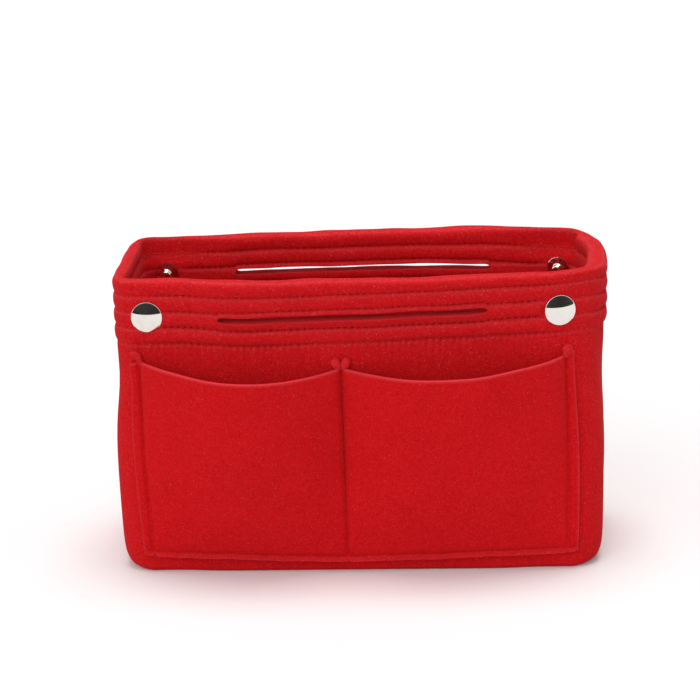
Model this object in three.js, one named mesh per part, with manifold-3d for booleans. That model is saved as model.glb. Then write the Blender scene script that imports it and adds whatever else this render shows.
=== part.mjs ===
// An organizer insert for a handbag: an open-topped box of thick felt. Its rim is a turned-in hem sewn in rows,
// with a slit for the fingers in the front and the back. A felt panel on each face makes two pockets. A press
// stud near each end holds the front and the back together when that end is pinched shut.
// Millimetres, +Z up, front towards -Y, origin at the middle of the underside.
import * as THREE from "three";
import { mergeVertices } from "three/addons/utils/BufferGeometryUtils.js";
import Module from "manifold-3d";

const wasm = await Module();
wasm.setup();

// Box
const LENGTH = 220; // outside, end to end
const DEPTH = 80; // outside, front to back
const HEIGHT = 138; // underside to rim
const FELT = 3; // thickness of all felt
const CORNER_RADIUS = 10; // outside of the upright corners, seen from above
const BELLY = 6; // how far the rim bows out at the middle of the front and the back
const BASE_ROUND = 2.4; // rounding of the lower edge
const STRIP_WIDTH = 16; // stretch of wall beside each corner that leans in and carries a stud
const SEAT_GAP = 0.3; // between pieces that touch
const CREASE_GAP = 1; // between the two halves of an end wall

// Hem
const HEM_ROWS = 4; // rows of stitching
const ROW_PITCH = 7.4; // from row to row, and from the rim to the first
const HEM_EDGE = 2.4; // raw edge left below the last row, on the inside
const STITCH_DENT = 0.7; // how deep a row pulls the felt in

// Finger slit
const SLIT_LENGTH = 120;
const SLIT_GAPE = 5.2; // opening at the middle
const SLIT_ROW = 2.5; // place below the rim, counted in rows: halfway between the second and the third

// Pocket panels
const POCKET_MARGIN = 12; // from the end of the box to the raw side edge
const POCKET_DROP = 38; // from the rim to the top corners
const POCKET_LIFT = 6.5; // from the underside to the raw lower edge
const POCKET_SEAM = 4.5; // stitch line inside the raw edge, and half the middle seam
const POCKET_BULGE = 16; // how far each mouth stands open
const POCKET_DIP = 4; // how far the mouth's edge dips between its seams
const POCKET_FULLNESS = 2.2; // power of the arch between two seams: higher is fuller beside them

// Press studs
const SNAP_DROP = 17; // from the rim to the centre
const CAP_RADIUS = 7;
const CAP_HEIGHT = 2.2;
const CAP_RIM = 0.9; // height of the cap's rolled edge
const POST_RADIUS = 1.5; // rivet through the felt
const SOCKET_RADIUS = 5.8;
const SOCKET_HEIGHT = 3;
const SOCKET_FLOOR = 0.8;
const SOCKET_LIP = 0.5; // thickness of the mouth, over the spring
const SOCKET_BORE = 2.8; // radius of the mouth
const SPRING_WIRE = 0.35; // radius of the spring's wire
const SPRING_OPENING = 0.6; // radians left open in the ring
const STUD_FLANGE_RADIUS = 5.5;
const STUD_FLANGE = 0.9; // thickness
const STUD_HEIGHT = 4.4;
const STUD_NECK = 1.9; // radius
const STUD_HEAD = 2.3; // radius
const STUD_WALL = 0.7; // metal over the rivet's end
const RING_RADIUS = 5.5; // rivet's ring on the back
const RING_HEIGHT = 1.1;
const RING_DIMPLE = 1.3; // radius of the hollow in the ring's middle

// Faceting
const FOLD_STEPS = 3;
const PUFF_STEPS = 3;
const ARC_STEPS = 5;
const WALL_STATIONS = 16;
const POCKET_COLUMNS = 10;
const POCKET_ROWS = 6;
const SLIT_STEPS = 14;
const ROUND_STEPS = 24;
const HOLE_STEPS = 12;

// Worked out from the sizes above
const footZ = FELT + SEAT_GAP;
const cornerX = LENGTH / 2 - CORNER_RADIUS;
const foldX = cornerX - STRIP_WIDTH;
const frontY = -DEPTH / 2;
const hem = 2 * FELT;
const hemBottom = HEIGHT - HEM_ROWS * ROW_PITCH - HEM_EDGE;
const slitZ = HEIGHT - SLIT_ROW * ROW_PITCH;
const snapX = cornerX - STRIP_WIDTH / 2;
const snapZ = HEIGHT - SNAP_DROP;
const rivetHole = POST_RADIUS + SEAT_GAP;

const felt = new THREE.MeshStandardMaterial({ color: 0xc11a1e, roughness: 0.95, metalness: 0 });
const nickel = new THREE.MeshStandardMaterial({ color: 0xc8c6c1, roughness: 0.18, metalness: 1 });
const spring = new THREE.MeshStandardMaterial({ color: 0x9c9a96, roughness: 0.35, metalness: 1 });

const organizer = new THREE.Group();

function addPiece(name, geometry, material, parent = organizer) {
  const mesh = new THREE.Mesh(geometry, material);
  mesh.name = name;
  parent.add(mesh);
}

// One mesh from points and triangles, turned so that its faces point out
function closedGeometry(points, faces) {
  const geometry = new THREE.BufferGeometry().setFromPoints(points);
  const volume = faces.reduce((sum, [a, b, c]) => {
    return sum + points[a].dot(new THREE.Vector3().crossVectors(points[b], points[c]));
  }, 0);
  const outward = volume > 0 ? faces : faces.map(([a, b, c]) => [a, c, b]);
  geometry.setIndex(outward.flat());
  return geometry;
}

// Triangles that fill a flat outline, wound the way that the outline runs
function fill(outline) {
  const winding = THREE.ShapeUtils.area(outline);
  return THREE.ShapeUtils.triangulateShape(outline, []).map(([a, b, c]) => {
    const same = THREE.ShapeUtils.area([outline[a], outline[b], outline[c]]) * winding > 0;
    return same ? [a, b, c] : [a, c, b];
  });
}

// A closed solid over rings of points, closed at both ends by the flat outline that the rings share
function skin(rings, outline) {
  const count = outline.length;
  const last = (rings.length - 1) * count;
  const faces = [];
  for (let start = 0; start < last; start += count) {
    for (let i = 0; i < count; i++) {
      const a = start + i;
      const b = start + ((i + 1) % count);
      faces.push([a, b, b + count], [a, b + count, a + count]);
    }
  }
  for (const [a, b, c] of fill(outline)) {
    faces.push([a, c, b], [last + a, last + b, last + c]);
  }
  return closedGeometry(rings.flat(), faces);
}

function toSolid(geometry) {
  const bare = geometry.clone();
  bare.deleteAttribute("normal");
  bare.deleteAttribute("uv");
  const merged = mergeVertices(bare, 1e-4);
  const mesh = new wasm.Mesh({
    numProp: 3,
    vertProperties: merged.attributes.position.array,
    triVerts: new Uint32Array(merged.index.array),
  });
  return new wasm.Manifold(mesh);
}

function toGeometry(solid) {
  const mesh = solid.getMesh();
  const geometry = new THREE.BufferGeometry();
  geometry.setAttribute("position", new THREE.BufferAttribute(mesh.vertProperties, 3));
  geometry.setIndex(new THREE.BufferAttribute(mesh.triVerts, 1));
  return geometry;
}

function cut(geometry, cutter) {
  return toGeometry(toSolid(geometry).subtract(toSolid(cutter)));
}

// Outline of the wall strip cut across: x is the depth in from the outer face, y is the height. The layers are
// sewn together above hemBottom, with a puffed channel between each two rows.
function wallSection() {
  const rows = [];
  for (let row = HEM_ROWS; row >= 1; row--) {
    rows.push([STITCH_DENT, HEIGHT - row * ROW_PITCH]);
    for (let step = 1; step < PUFF_STEPS && row > 1; step++) {
      const part = step / PUFF_STEPS;
      rows.push([STITCH_DENT * (1 - Math.sin(Math.PI * part)), HEIGHT - (row - part) * ROW_PITCH]);
    }
  }
  const shape = new THREE.Shape();
  shape.moveTo(0, footZ);
  shape.lineTo(0, hemBottom);
  rows.forEach(([depth, z]) => shape.lineTo(depth, z));
  shape.lineTo(0, HEIGHT - FELT);
  shape.absarc(FELT, HEIGHT - FELT, FELT, Math.PI, 0, true);
  rows.reverse().forEach(([depth, z]) => shape.lineTo(hem - depth, z));
  shape.lineTo(hem, hemBottom);
  shape.lineTo(FELT, hemBottom);
  shape.lineTo(FELT, footZ);
  const points = shape.getPoints(FOLD_STEPS);
  return points.filter((point, i) => i === 0 || point.distanceTo(points[i - 1]) > 1e-6);
}

// How far the rim stands out of line at this place along the front.
function bow(x) {
  return Math.abs(x) < foldX ? BELLY * Math.cos((Math.PI / 2) * (x / foldX) ** 2) ** 2 : 0;
}

// Sweeps the wall's section along stations, each a place on the outer face with the direction inwards.
function sweepWall(stations) {
  const section = wallSection();
  const rings = stations.map(({ x, y, inX, inY, out }) =>
    section.map((point) => {
      const depth = point.x - (out * point.y) / HEIGHT;
      return new THREE.Vector3(x + inX * depth, y + inY * depth, point.y);
    }),
  );
  return skin(rings, section);
}

function straightStations(fromX, toX, count) {
  return Array.from({ length: count + 1 }, (_, i) => {
    const x = fromX + ((toX - fromX) * i) / count;
    return { x, y: frontY, inX: 0, inY: 1, out: bow(x) };
  });
}

// The finger slit as a solid to cut away: pointed ends, widest at the middle, right through the front.
function slitCutter() {
  const half = SLIT_LENGTH / 2;
  const edge = (side) => (_, i) => {
    const share = (2 * i) / SLIT_STEPS - 1;
    return new THREE.Vector2(side * share * half, ((side * SLIT_GAPE) / 2) * (1 - share ** 4));
  };
  const lower = Array.from({ length: SLIT_STEPS }, edge(-1));
  const upper = Array.from({ length: SLIT_STEPS }, edge(1));
  const reach = BELLY + hem + 2 * FELT;
  const cutter = new THREE.ExtrudeGeometry(new THREE.Shape([...lower, ...upper]), {
    depth: reach,
    bevelEnabled: false,
    steps: 1,
  });
  return cutter.rotateX(Math.PI / 2).translate(0, frontY + hem + FELT, slitZ);
}

// Front and back walls, alike
function addLongWalls() {
  const wall = cut(sweepWall(straightStations(-foldX, foldX, WALL_STATIONS)), slitCutter());
  addPiece("front_wall", wall, felt);
  const back = new THREE.Group();
  back.rotation.z = Math.PI;
  organizer.add(back);
  addPiece("back_wall", wall, felt, back);
}

// The stretch of wall beside a corner, with the hole for its stud's rivet
function cornerPanel(side) {
  const nearX = side * (foldX + SEAT_GAP);
  const farX = side * (cornerX - SEAT_GAP);
  const hole = new THREE.CylinderGeometry(rivetHole, rivetHole, 2 * hem, HOLE_STEPS);
  hole.translate(side * snapX, frontY + FELT, snapZ);
  return cut(sweepWall(straightStations(nearX, farX, 1)), hole);
}

// Half an end wall, from the rounded corner to the crease in its middle
function endPanel(side) {
  const corner = Array.from({ length: ARC_STEPS + 1 }, (_, i) => {
    const angle = ((Math.PI / 2) * i) / ARC_STEPS;
    const inX = -side * Math.sin(angle);
    const inY = Math.cos(angle);
    const x = side * cornerX - inX * CORNER_RADIUS;
    return { x, y: frontY + CORNER_RADIUS * (1 - inY), inX, inY, out: 0 };
  });
  const crease = { x: (side * LENGTH) / 2, y: -CREASE_GAP / 2, inX: -side, inY: 0, out: 0 };
  return sweepWall([...corner, crease]);
}

// Corner and end panels: what is on the right at the front is on the left at the back
function addEnds() {
  const back = new THREE.Group();
  back.rotation.z = Math.PI;
  organizer.add(back);
  for (const [side, here, across] of [[1, "right", "left"], [-1, "left", "right"]]) {
    addPiece(`front_${here}_corner_panel`, cornerPanel(side), felt);
    addPiece(`back_${across}_corner_panel`, cornerPanel(side), felt, back);
    addPiece(`${here}_end_front_panel`, endPanel(side), felt);
    addPiece(`${across}_end_back_panel`, endPanel(side), felt, back);
  }
}

// Base: the box's outline from above, rounded under its lower edge
function addBase() {
  const levels = Array.from({ length: FOLD_STEPS + 1 }, (_, i) => {
    const angle = ((Math.PI / 2) * i) / FOLD_STEPS;
    return { inset: BASE_ROUND * (1 - Math.sin(angle)), z: BASE_ROUND * (1 - Math.cos(angle)) };
  });
  levels.push({ inset: 0, z: FELT });
  const outline = [];
  for (const [sideX, sideY, start] of [[1, -1, -0.5], [1, 1, 0], [-1, 1, 0.5], [-1, -1, 1]]) {
    for (let i = 0; i <= ARC_STEPS; i++) {
      const angle = Math.PI * (start + (0.5 * i) / ARC_STEPS);
      const centreY = sideY * (DEPTH / 2 - CORNER_RADIUS);
      outline.push({ x: sideX * cornerX, y: centreY, inX: -Math.cos(angle), inY: -Math.sin(angle) });
    }
  }
  const rings = levels.map(({ inset, z }) =>
    outline.map(({ x, y, inX, inY }) => {
      const radius = CORNER_RADIUS - inset;
      return new THREE.Vector3(x - inX * radius, y - inY * radius, z);
    }),
  );
  const flat = rings[0].map((point) => new THREE.Vector2(point.x, point.y));
  addPiece("base_panel", skin(rings, flat), felt);
}

// Columns across a pocket panel: the place along the front and how open the mouth is there, from 0 to 1
function pocketColumns() {
  const edge = LENGTH / 2 - POCKET_MARGIN;
  const mouth = (from, to) =>
    Array.from({ length: POCKET_COLUMNS + 1 }, (_, i) => {
      const share = i / POCKET_COLUMNS;
      const open = 1 - Math.abs(2 * share - 1) ** POCKET_FULLNESS;
      return { x: from + (to - from) * share, open };
    });
  const left = mouth(-edge + POCKET_SEAM, -POCKET_SEAM / 2);
  const right = mouth(POCKET_SEAM / 2, edge - POCKET_SEAM);
  return [{ x: -edge, open: 0 }, ...left, ...right, { x: edge, open: 0 }];
}

// One felt sheet over the front, sewn down at its sides, bottom and middle, and standing open between the seams
function pocketPanel() {
  const columns = pocketColumns();
  const seamZ = POCKET_LIFT + POCKET_SEAM;
  const inner = [];
  for (let row = -1; row <= POCKET_ROWS; row++) {
    const rise = Math.max(row, 0) / POCKET_ROWS;
    for (const { x, open } of columns) {
      const topZ = HEIGHT - POCKET_DROP - POCKET_DIP * open;
      const z = row < 0 ? POCKET_LIFT : seamZ + (topZ - seamZ) * rise;
      const bulge = POCKET_BULGE * open * Math.sin((Math.PI / 2) * rise);
      inner.push(new THREE.Vector3(x, frontY - (bow(x) * z) / HEIGHT - SEAT_GAP - bulge, z));
    }
  }
  const outer = inner.map((point) => new THREE.Vector3(point.x, point.y - FELT, point.z));
  const width = columns.length;
  const half = inner.length;
  const faces = [];
  const quad = (a, b, c, d) => faces.push([a, b, c], [a, c, d]);
  for (let row = 0; row <= POCKET_ROWS; row++) {
    for (let i = 0; i < width - 1; i++) {
      const a = row * width + i;
      quad(a, a + 1, a + width + 1, a + width);
      quad(half + a, half + a + width, half + a + width + 1, half + a + 1);
    }
    const left = row * width;
    const right = left + width - 1;
    quad(left, left + width, half + left + width, half + left);
    quad(right, half + right, half + right + width, right + width);
  }
  const top = half - width;
  for (let i = 0; i < width - 1; i++) {
    quad(i, half + i, half + i + 1, i + 1);
    quad(top + i, top + i + 1, half + top + i + 1, half + top + i);
  }
  return closedGeometry([...inner, ...outer], faces);
}

function addPockets() {
  const panel = pocketPanel();
  addPiece("front_pocket_panel", panel, felt);
  const back = new THREE.Group();
  back.rotation.z = Math.PI;
  organizer.add(back);
  addPiece("back_pocket_panel", panel, felt, back);
}

// A turned piece from its half outline, with y along the stud's axis
function turned(path) {
  const lathe = new THREE.LatheGeometry(path.getPoints(FOLD_STEPS), ROUND_STEPS);
  lathe.deleteAttribute("normal");
  lathe.deleteAttribute("uv");
  const merged = mergeVertices(lathe, 1e-4);
  const spots = merged.attributes.position;
  const points = Array.from({ length: spots.count }, (_, i) => new THREE.Vector3().fromBufferAttribute(spots, i));
  const faces = [];
  for (let i = 0; i < merged.index.count; i += 3) {
    const [a, b, c] = merged.index.array.slice(i, i + 3);
    if (a !== b && b !== c && c !== a) faces.push([a, b, c]);
  }
  return closedGeometry(points, faces);
}

// Domed cap with a rolled edge, riveted through the felt into the socket. y is outwards from the felt.
function snapCap() {
  const rivet = -(2 * SEAT_GAP + hem + SOCKET_FLOOR);
  const path = new THREE.Path();
  path.moveTo(0, rivet);
  path.lineTo(POST_RADIUS, rivet);
  path.lineTo(POST_RADIUS, 0);
  path.lineTo(CAP_RADIUS - CAP_RIM / 2, 0);
  path.absarc(CAP_RADIUS - CAP_RIM / 2, CAP_RIM / 2, CAP_RIM / 2, -Math.PI / 2, Math.PI / 2, false);
  path.quadraticCurveTo(CAP_RADIUS / 2, CAP_HEIGHT, 0, CAP_HEIGHT);
  return turned(path);
}

// Socket: a stepped ring with a groove for its spring. y is outwards from the felt, and its mouth is at the top.
function snapSocket() {
  const grooveRadius = SOCKET_BORE + 2 * SPRING_WIRE + SEAT_GAP;
  const path = new THREE.Path();
  path.moveTo(rivetHole, 0);
  path.lineTo(SOCKET_RADIUS, 0);
  path.lineTo(SOCKET_RADIUS, SOCKET_FLOOR);
  path.lineTo(grooveRadius + SOCKET_LIP, SOCKET_FLOOR + SOCKET_LIP);
  path.lineTo(grooveRadius + SOCKET_LIP, SOCKET_HEIGHT - SOCKET_LIP / 2);
  path.lineTo(grooveRadius, SOCKET_HEIGHT);
  path.lineTo(SOCKET_BORE, SOCKET_HEIGHT);
  path.lineTo(SOCKET_BORE, SOCKET_HEIGHT - SOCKET_LIP);
  path.lineTo(grooveRadius, SOCKET_HEIGHT - SOCKET_LIP);
  path.lineTo(grooveRadius, SOCKET_FLOOR);
  path.lineTo(rivetHole, SOCKET_FLOOR);
  path.lineTo(rivetHole, 0);
  return turned(path);
}

// Spring: a split ring of wire inside the socket's groove
function snapSpring() {
  const radius = SOCKET_BORE + SPRING_WIRE;
  const height = (SOCKET_FLOOR + SOCKET_HEIGHT - SOCKET_LIP) / 2;
  const sweep = 2 * Math.PI - SPRING_OPENING;
  const points = Array.from({ length: ROUND_STEPS }, (_, i) => {
    const angle = SPRING_OPENING / 2 + (sweep * i) / (ROUND_STEPS - 1);
    return new THREE.Vector3(radius * Math.cos(angle), height, radius * Math.sin(angle));
  });
  const wire = new THREE.Shape(
    Array.from({ length: 6 }, (_, i) => {
      const angle = (Math.PI * i) / 3;
      return new THREE.Vector2(SPRING_WIRE * Math.cos(angle), SPRING_WIRE * Math.sin(angle));
    }),
  );
  return new THREE.ExtrudeGeometry(wire, {
    steps: ROUND_STEPS,
    bevelEnabled: false,
    extrudePath: new THREE.CatmullRomCurve3(points),
  });
}

// Stud: a flange and a hollow bulb that its rivet spreads in. y is outwards from the felt.
function snapStud() {
  const neckZ = (STUD_FLANGE + STUD_HEIGHT) / 2;
  const path = new THREE.Path();
  path.moveTo(rivetHole, 0);
  path.lineTo(STUD_FLANGE_RADIUS, 0);
  path.lineTo(STUD_FLANGE_RADIUS, STUD_FLANGE / 2);
  path.lineTo(STUD_HEAD, STUD_FLANGE);
  path.quadraticCurveTo(STUD_NECK, STUD_FLANGE, STUD_NECK + SEAT_GAP / 2, neckZ);
  path.quadraticCurveTo(STUD_HEAD + SEAT_GAP, STUD_HEIGHT, 0, STUD_HEIGHT);
  path.lineTo(0, STUD_FLANGE + STUD_WALL);
  path.lineTo(POST_RADIUS, STUD_FLANGE + STUD_WALL);
  path.lineTo(rivetHole, STUD_FLANGE);
  path.lineTo(rivetHole, 0);
  return turned(path);
}

// Rivet with a dimpled ring, which holds the stud. y is outwards from the felt.
function snapPost() {
  const rivet = -(2 * SEAT_GAP + hem + STUD_FLANGE);
  const path = new THREE.Path();
  path.moveTo(0, rivet);
  path.lineTo(POST_RADIUS, rivet);
  path.lineTo(POST_RADIUS, 0);
  path.lineTo(RING_RADIUS - RING_HEIGHT / 2, 0);
  path.absarc(RING_RADIUS - RING_HEIGHT / 2, RING_HEIGHT / 2, RING_HEIGHT / 2, -Math.PI / 2, Math.PI / 2, false);
  path.lineTo(RING_DIMPLE + RING_HEIGHT / 2, RING_HEIGHT);
  path.lineTo(RING_DIMPLE, RING_HEIGHT / 2);
  path.lineTo(0, RING_HEIGHT / 2);
  return turned(path);
}

// Puts a stud piece on a face of the wall; inwards is +1 where its axis runs towards +Y
function addSnapPiece(name, geometry, material, x, y, inwards) {
  const seat = new THREE.Group();
  seat.position.set(x, y, snapZ);
  seat.rotation.x = inwards > 0 ? 0 : Math.PI;
  organizer.add(seat);
  addPiece(name, geometry, material, seat);
}

function addSnaps() {
  const outerY = DEPTH / 2 + SEAT_GAP;
  const innerY = DEPTH / 2 - hem - SEAT_GAP;
  for (const [side, end] of [[1, "right"], [-1, "left"]]) {
    const x = side * snapX;
    addSnapPiece(`snap_cap_${end}`, snapCap(), nickel, x, -outerY, -1);
    addSnapPiece(`snap_socket_${end}`, snapSocket(), nickel, x, -innerY, 1);
    addSnapPiece(`snap_spring_${end}`, snapSpring(), spring, x, -innerY, 1);
    addSnapPiece(`snap_stud_${end}`, snapStud(), nickel, x, innerY, -1);
    addSnapPiece(`snap_post_${end}`, snapPost(), nickel, x, outerY, 1);
  }
}

addBase();
addLongWalls();
addEnds();
addPockets();
addSnaps();

export default organizer;
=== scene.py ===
"""Felt purse organizer insert: the finished look of every piece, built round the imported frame."""

import math

import bpy
import numpy as np
from mathutils import Matrix, Vector


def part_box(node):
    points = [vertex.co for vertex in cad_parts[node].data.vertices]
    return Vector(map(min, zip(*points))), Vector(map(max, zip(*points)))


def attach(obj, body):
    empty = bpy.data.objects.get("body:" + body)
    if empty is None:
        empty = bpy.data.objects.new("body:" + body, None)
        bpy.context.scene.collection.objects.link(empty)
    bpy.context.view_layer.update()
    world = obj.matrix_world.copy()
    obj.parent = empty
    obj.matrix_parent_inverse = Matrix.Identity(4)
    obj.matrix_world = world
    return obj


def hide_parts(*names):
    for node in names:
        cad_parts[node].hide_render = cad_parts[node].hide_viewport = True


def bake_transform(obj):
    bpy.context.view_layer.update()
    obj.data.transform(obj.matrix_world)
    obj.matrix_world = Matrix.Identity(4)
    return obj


bl_info = {
    "name": "Felt Organizer Insert",
    "version": (1, 0, 0),
    "blender": (4, 5, 0),
    "location": "View3D > Sidebar > Felt Insert",
    "description": "An open felt insert with a quilted hem, finger slits, pockets and press studs",
    "category": "Object",
}

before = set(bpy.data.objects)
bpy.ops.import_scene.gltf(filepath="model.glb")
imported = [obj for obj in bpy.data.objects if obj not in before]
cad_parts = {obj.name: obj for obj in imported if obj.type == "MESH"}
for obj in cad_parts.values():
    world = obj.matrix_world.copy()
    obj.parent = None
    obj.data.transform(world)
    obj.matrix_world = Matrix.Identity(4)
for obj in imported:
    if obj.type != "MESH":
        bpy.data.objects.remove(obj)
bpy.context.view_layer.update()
MM = 0.001

# What the frame gives, in metres
HALF_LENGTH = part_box("base_panel")[1].x
HALF_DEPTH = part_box("base_panel")[1].y
RIM_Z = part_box("front_wall")[1].z
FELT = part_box("base_panel")[1].z
HEM = HALF_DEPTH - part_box("back_right_corner_panel")[0].y
FOLD_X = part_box("front_wall")[1].x
POCKET_LOW, POCKET_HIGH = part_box("front_pocket_panel")
CAP_LOW, CAP_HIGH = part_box("snap_cap_right")
STUD_X = (CAP_LOW.x + CAP_HIGH.x) / 2
STUD_Z = (CAP_LOW.z + CAP_HIGH.z) / 2
SEAT_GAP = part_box("front_wall")[0].z - FELT

# Along a long side from its middle: where the strip's pieces meet
CORNER_JOIN = 96 * MM

# The sign of each side along the box and of each face across it
SIDES = {"right": 1, "left": -1}
FACES = {"front": -1, "back": 1}

# Shares of the box over which the give of the long sides and of the ends fades out
SIDE_FADE = 0.8
END_FADE = 0.92

# Half the stretch of a long side, round its middle, that is free to wave and bow
FREE_STRETCH = 60 * MM

# Heights over which the felt comes off the floor, and the ends' tuck at the floor: shares and reaches
OFF_FLOOR = (4 * MM, 40 * MM)
TUCKS = ((0.88, 3.5 * MM), (0.12, 18 * MM))

# Shares of the height: where the ends are full and drawn in, with the spread of each, and the open corners
FULL_ENDS, WAIST = (0.36, 0.26), (0.65, 0.12)
CORNER_OPENS = (0.3, 0.92)

# Along the front: where its rows start to rise towards the right, and where they are highest
LIFT_STRETCH = (-60 * MM, 92 * MM)

# Waves in each metre along and up the felt, and the fixed pattern of them that each part has
WAVES = ((9, 5), (17, -11), (31, 19), (6, -23))
SIDE_WAVE, END_WAVE, RIM_WAVE, ROW_WAVE = 2, 5, 8, 9
PLUMP_WAVE, PULL_WAVE = 3, 11
FOOT_WAVE, MOUTH_WAVE, FRAY_WAVE = 4, 6, 7

# The slit: row pitches below the rim, how blunt its opening and its lean end, and how its lips part
SLIT_DROP = 2.38
SLIT_BLUNT, LEAN_BLUNT = 90, 20
UPPER_SHARE = 0.7
UPPER_LEAN, LOWER_LEAN = -0.2, 1.0
BACK_GAPE, BACK_SLIT_LEAN = 1.2, 0.2

# How tightly each row of the hem is sewn, from the rim down: the third, below the slit, is the tightest
ROW_TIGHTNESS = (0.85, 0.9, 1.4, 1.15)

# The hem's channels: a power that sets where they are fullest, and the one over the rim, which stays full
CHANNEL_POWER = 0.9
CROWN_PHASE, CROWN_FULL = 0.46, 0.2

# How far a row pulls in between its needle holes, and how much more at one
BETWEEN_HOLES, AT_HOLE = 0.55, 0.9

# Along the strip: where it starts and ends going round a corner, and where the hem's inside is pressed
CORNER_START, CORNER_END = (84 * MM, 100 * MM), (118 * MM, 130 * MM)
PRESSED_STRETCH = (46 * MM, 82 * MM, 102 * MM, 126 * MM)

# Radii round a stud within which the felt is pressed flat and beyond which it is free
SEAT_FLAT, SEAT_FREE = 6.4 * MM, 10.5 * MM

# The pockets: clear of the wall, length to span of their felt, and shares through its cut edge
POCKET_GAP = 0.1 * MM
POCKET_EASE = 1.07
EDGE_SHARES = (0.22, 0.5, 0.78)

# Steps round a turned piece and round an eased corner, and what counts as nothing
TURN_STEPS = 72
EASE_STEPS = 4
TINY = 1e-7

# Seed of the first random draw in each group of stitches
HEM_SEED, END_SEED, POCKET_SEED, BASE_SEED = 0, 10, 20, 40


def length(name, description, default):
    """A size in metres."""
    return bpy.props.FloatProperty(
        name=name, description=description, default=default, unit="LENGTH", precision=5
    )


def colour(name, description, default):
    """A colour with alpha."""
    return bpy.props.FloatVectorProperty(
        name=name, description=description, default=default, subtype="COLOR", size=4, min=0, max=1
    )


class InsertSizes(bpy.types.PropertyGroup):
    """Sizes of the felt, its sewing and its pockets"""

    corner: length("Corner", "Outer radius of the box's upright corners", 13 * MM)
    soft_corner: length("Soft corner", "Radius that the right corners open to at the rim", 25 * MM)
    foot_roll: length("Foot roll", "Radius at which the walls curl under", 2.6 * MM)
    foot_lap: length("Foot lap", "Felt that runs on under the box to the base seam", 5 * MM)
    foot_taper: length("Foot taper", "How far the ends draw in at the floor", 5.5 * MM)
    belly: length("Belly", "How far the long sides bow out at the rim", 7.2 * MM)
    belly_twist: bpy.props.FloatProperty(
        name="Belly twist", description="Share by which each belly is fuller towards one end", default=0.5
    )
    end_fullness: length("End fullness", "How far the ends stand out half-way up", 1.6 * MM)
    end_waist: length("End waist", "How far the ends draw in below the hem", 1.2 * MM)
    back_lean: length("Back lean", "How far the back right corner stands further in at the rim", 3.5 * MM)
    back_rise: length("Back rise", "How much higher the back rim runs near its right end", 1.8 * MM)
    end_lean: length("End lean", "How far both ends lean to the right at the rim", 2.2 * MM)
    unevenness: length("Unevenness", "Slow waves left in the felt by sewing", 0.7 * MM)
    row_pitch: length("Row pitch", "Distance between the hem's rows of stitches", 7.4 * MM)
    rows: bpy.props.IntProperty(name="Rows", description="Rows of stitches in the hem", default=4, min=1)
    hem_edge: length("Hem edge", "Felt below the lowest row", 2.4 * MM)
    puff: length("Puff", "How far the felt swells between two rows", 1.15 * MM)
    dent: length("Dent", "How deep a row of stitches pulls in", 1.15 * MM)
    dent_width: length("Dent width", "Half width of the groove along a row", 0.62 * MM)
    row_lift: length("Row lift", "How much higher the front rows run at the right end", 2.4 * MM)
    slit_length: length("Slit length", "Finger slit from end to end", 120 * MM)
    lap: length("Lap", "How proud the hem's overlapped join stands inside", 1.1 * MM)
    lap_run: length("Lap place", "The join's raw edge, from the middle of the back", 116 * MM)
    slit_gape: length("Slit gape", "How far the finger slit stands open", 2.3 * MM)
    slit_reach: length("Slit reach", "How far from the slit the rows are pushed apart", 4 * MM)
    lip_lean: length("Lip lean", "How far the slit's lower lip leans out", 1.3 * MM)
    lip_drop: length("Lip drop", "How far the lower lip's outer edge hangs below its inner edge", 0.5 * MM)
    pocket_seam: length("Pocket seam", "Side stitch line's distance from the raw edge", 4.4 * MM)
    pocket_foot: length("Pocket foot", "Bottom stitch line's distance from the raw edge", 1.9 * MM)
    pocket_centre: length("Pocket centre", "The front middle seam's place along the box", -5.5 * MM)
    pocket_felt: length("Pocket felt", "Thickness of the pocket's felt", 2.5 * MM)
    pocket_bulge: length("Pocket bulge", "How far a pocket's mouth stands out", 16 * MM)
    pocket_fullness: bpy.props.FloatProperty(
        name="Pocket fullness", description="Power of the arch between two seams", default=2.2, min=1.0
    )
    pocket_dip: length("Pocket dip", "How far a mouth's middle hangs below its ends", 3.8 * MM)
    ear: length("Ear", "Height of the pleats of felt where a mouth meets its seam", 5.2 * MM)
    stitch_pitch: length("Stitch pitch", "From one needle hole to the next", 3 * MM)
    stitch_length: length("Stitch length", "Thread seen between two holes", 2.1 * MM)
    thread: length("Thread radius", "Radius of the sewing thread", 0.22 * MM)


class InsertColours(bpy.types.PropertyGroup):
    """Colours of the felt, thread, metal and floor"""

    felt: colour("Felt", "Red of the felt", (0.748, 0.0088, 0.0127, 1))
    # Partly painted shade: the felt is painted this darker red where its fibre relief is low
    felt_deep_shade: colour("Felt shade", "Red between the fibres", (0.572, 0.0042, 0.0067, 1))
    # Also the colour of the painted highlight under the hem's rows
    fibre_and_highlight: colour("Fibre", "Loose pale fibres on the felt", (0.880, 0.120, 0.140, 1))
    cut_edge: colour("Cut edge", "Teased fibres along a cut edge", (0.800, 0.042, 0.056, 1))
    thread: colour("Thread", "Sewing thread", (0.640, 0.0060, 0.0090, 1))
    # Painted highlight: the paler red painted on the thread's raised plies
    thread_highlight: colour("Thread light", "Raised ply of the thread", (0.780, 0.0160, 0.0220, 1))
    nickel: colour("Nickel", "Plating of the press studs", (0.780, 0.755, 0.700, 1))
    nickel_dull: colour("Dull nickel", "Plating where it is less bright", (0.600, 0.575, 0.530, 1))
    steel: colour("Spring steel", "Wire in the sockets", (0.520, 0.515, 0.500, 1))
    floor: colour("Floor", "Pale studio floor", (0.940, 0.930, 0.940, 1))


def smooth(value, low, high):
    """0 below low, 1 above high and an even S between them."""
    t = np.clip((value - low) / (high - low), 0, 1)
    return t * t * (3 - 2 * t)


def hump(value, middle, width):
    """1 at the middle, falling off evenly to both sides."""
    return np.exp(-(((value - middle) / width) ** 2))


def stretch(run, start, full, fading, gone):
    """1 between two places along the strip, with an even rise before them and an even fall after."""
    return smooth(run, start, full) * (1 - smooth(run, fading, gone))


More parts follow.
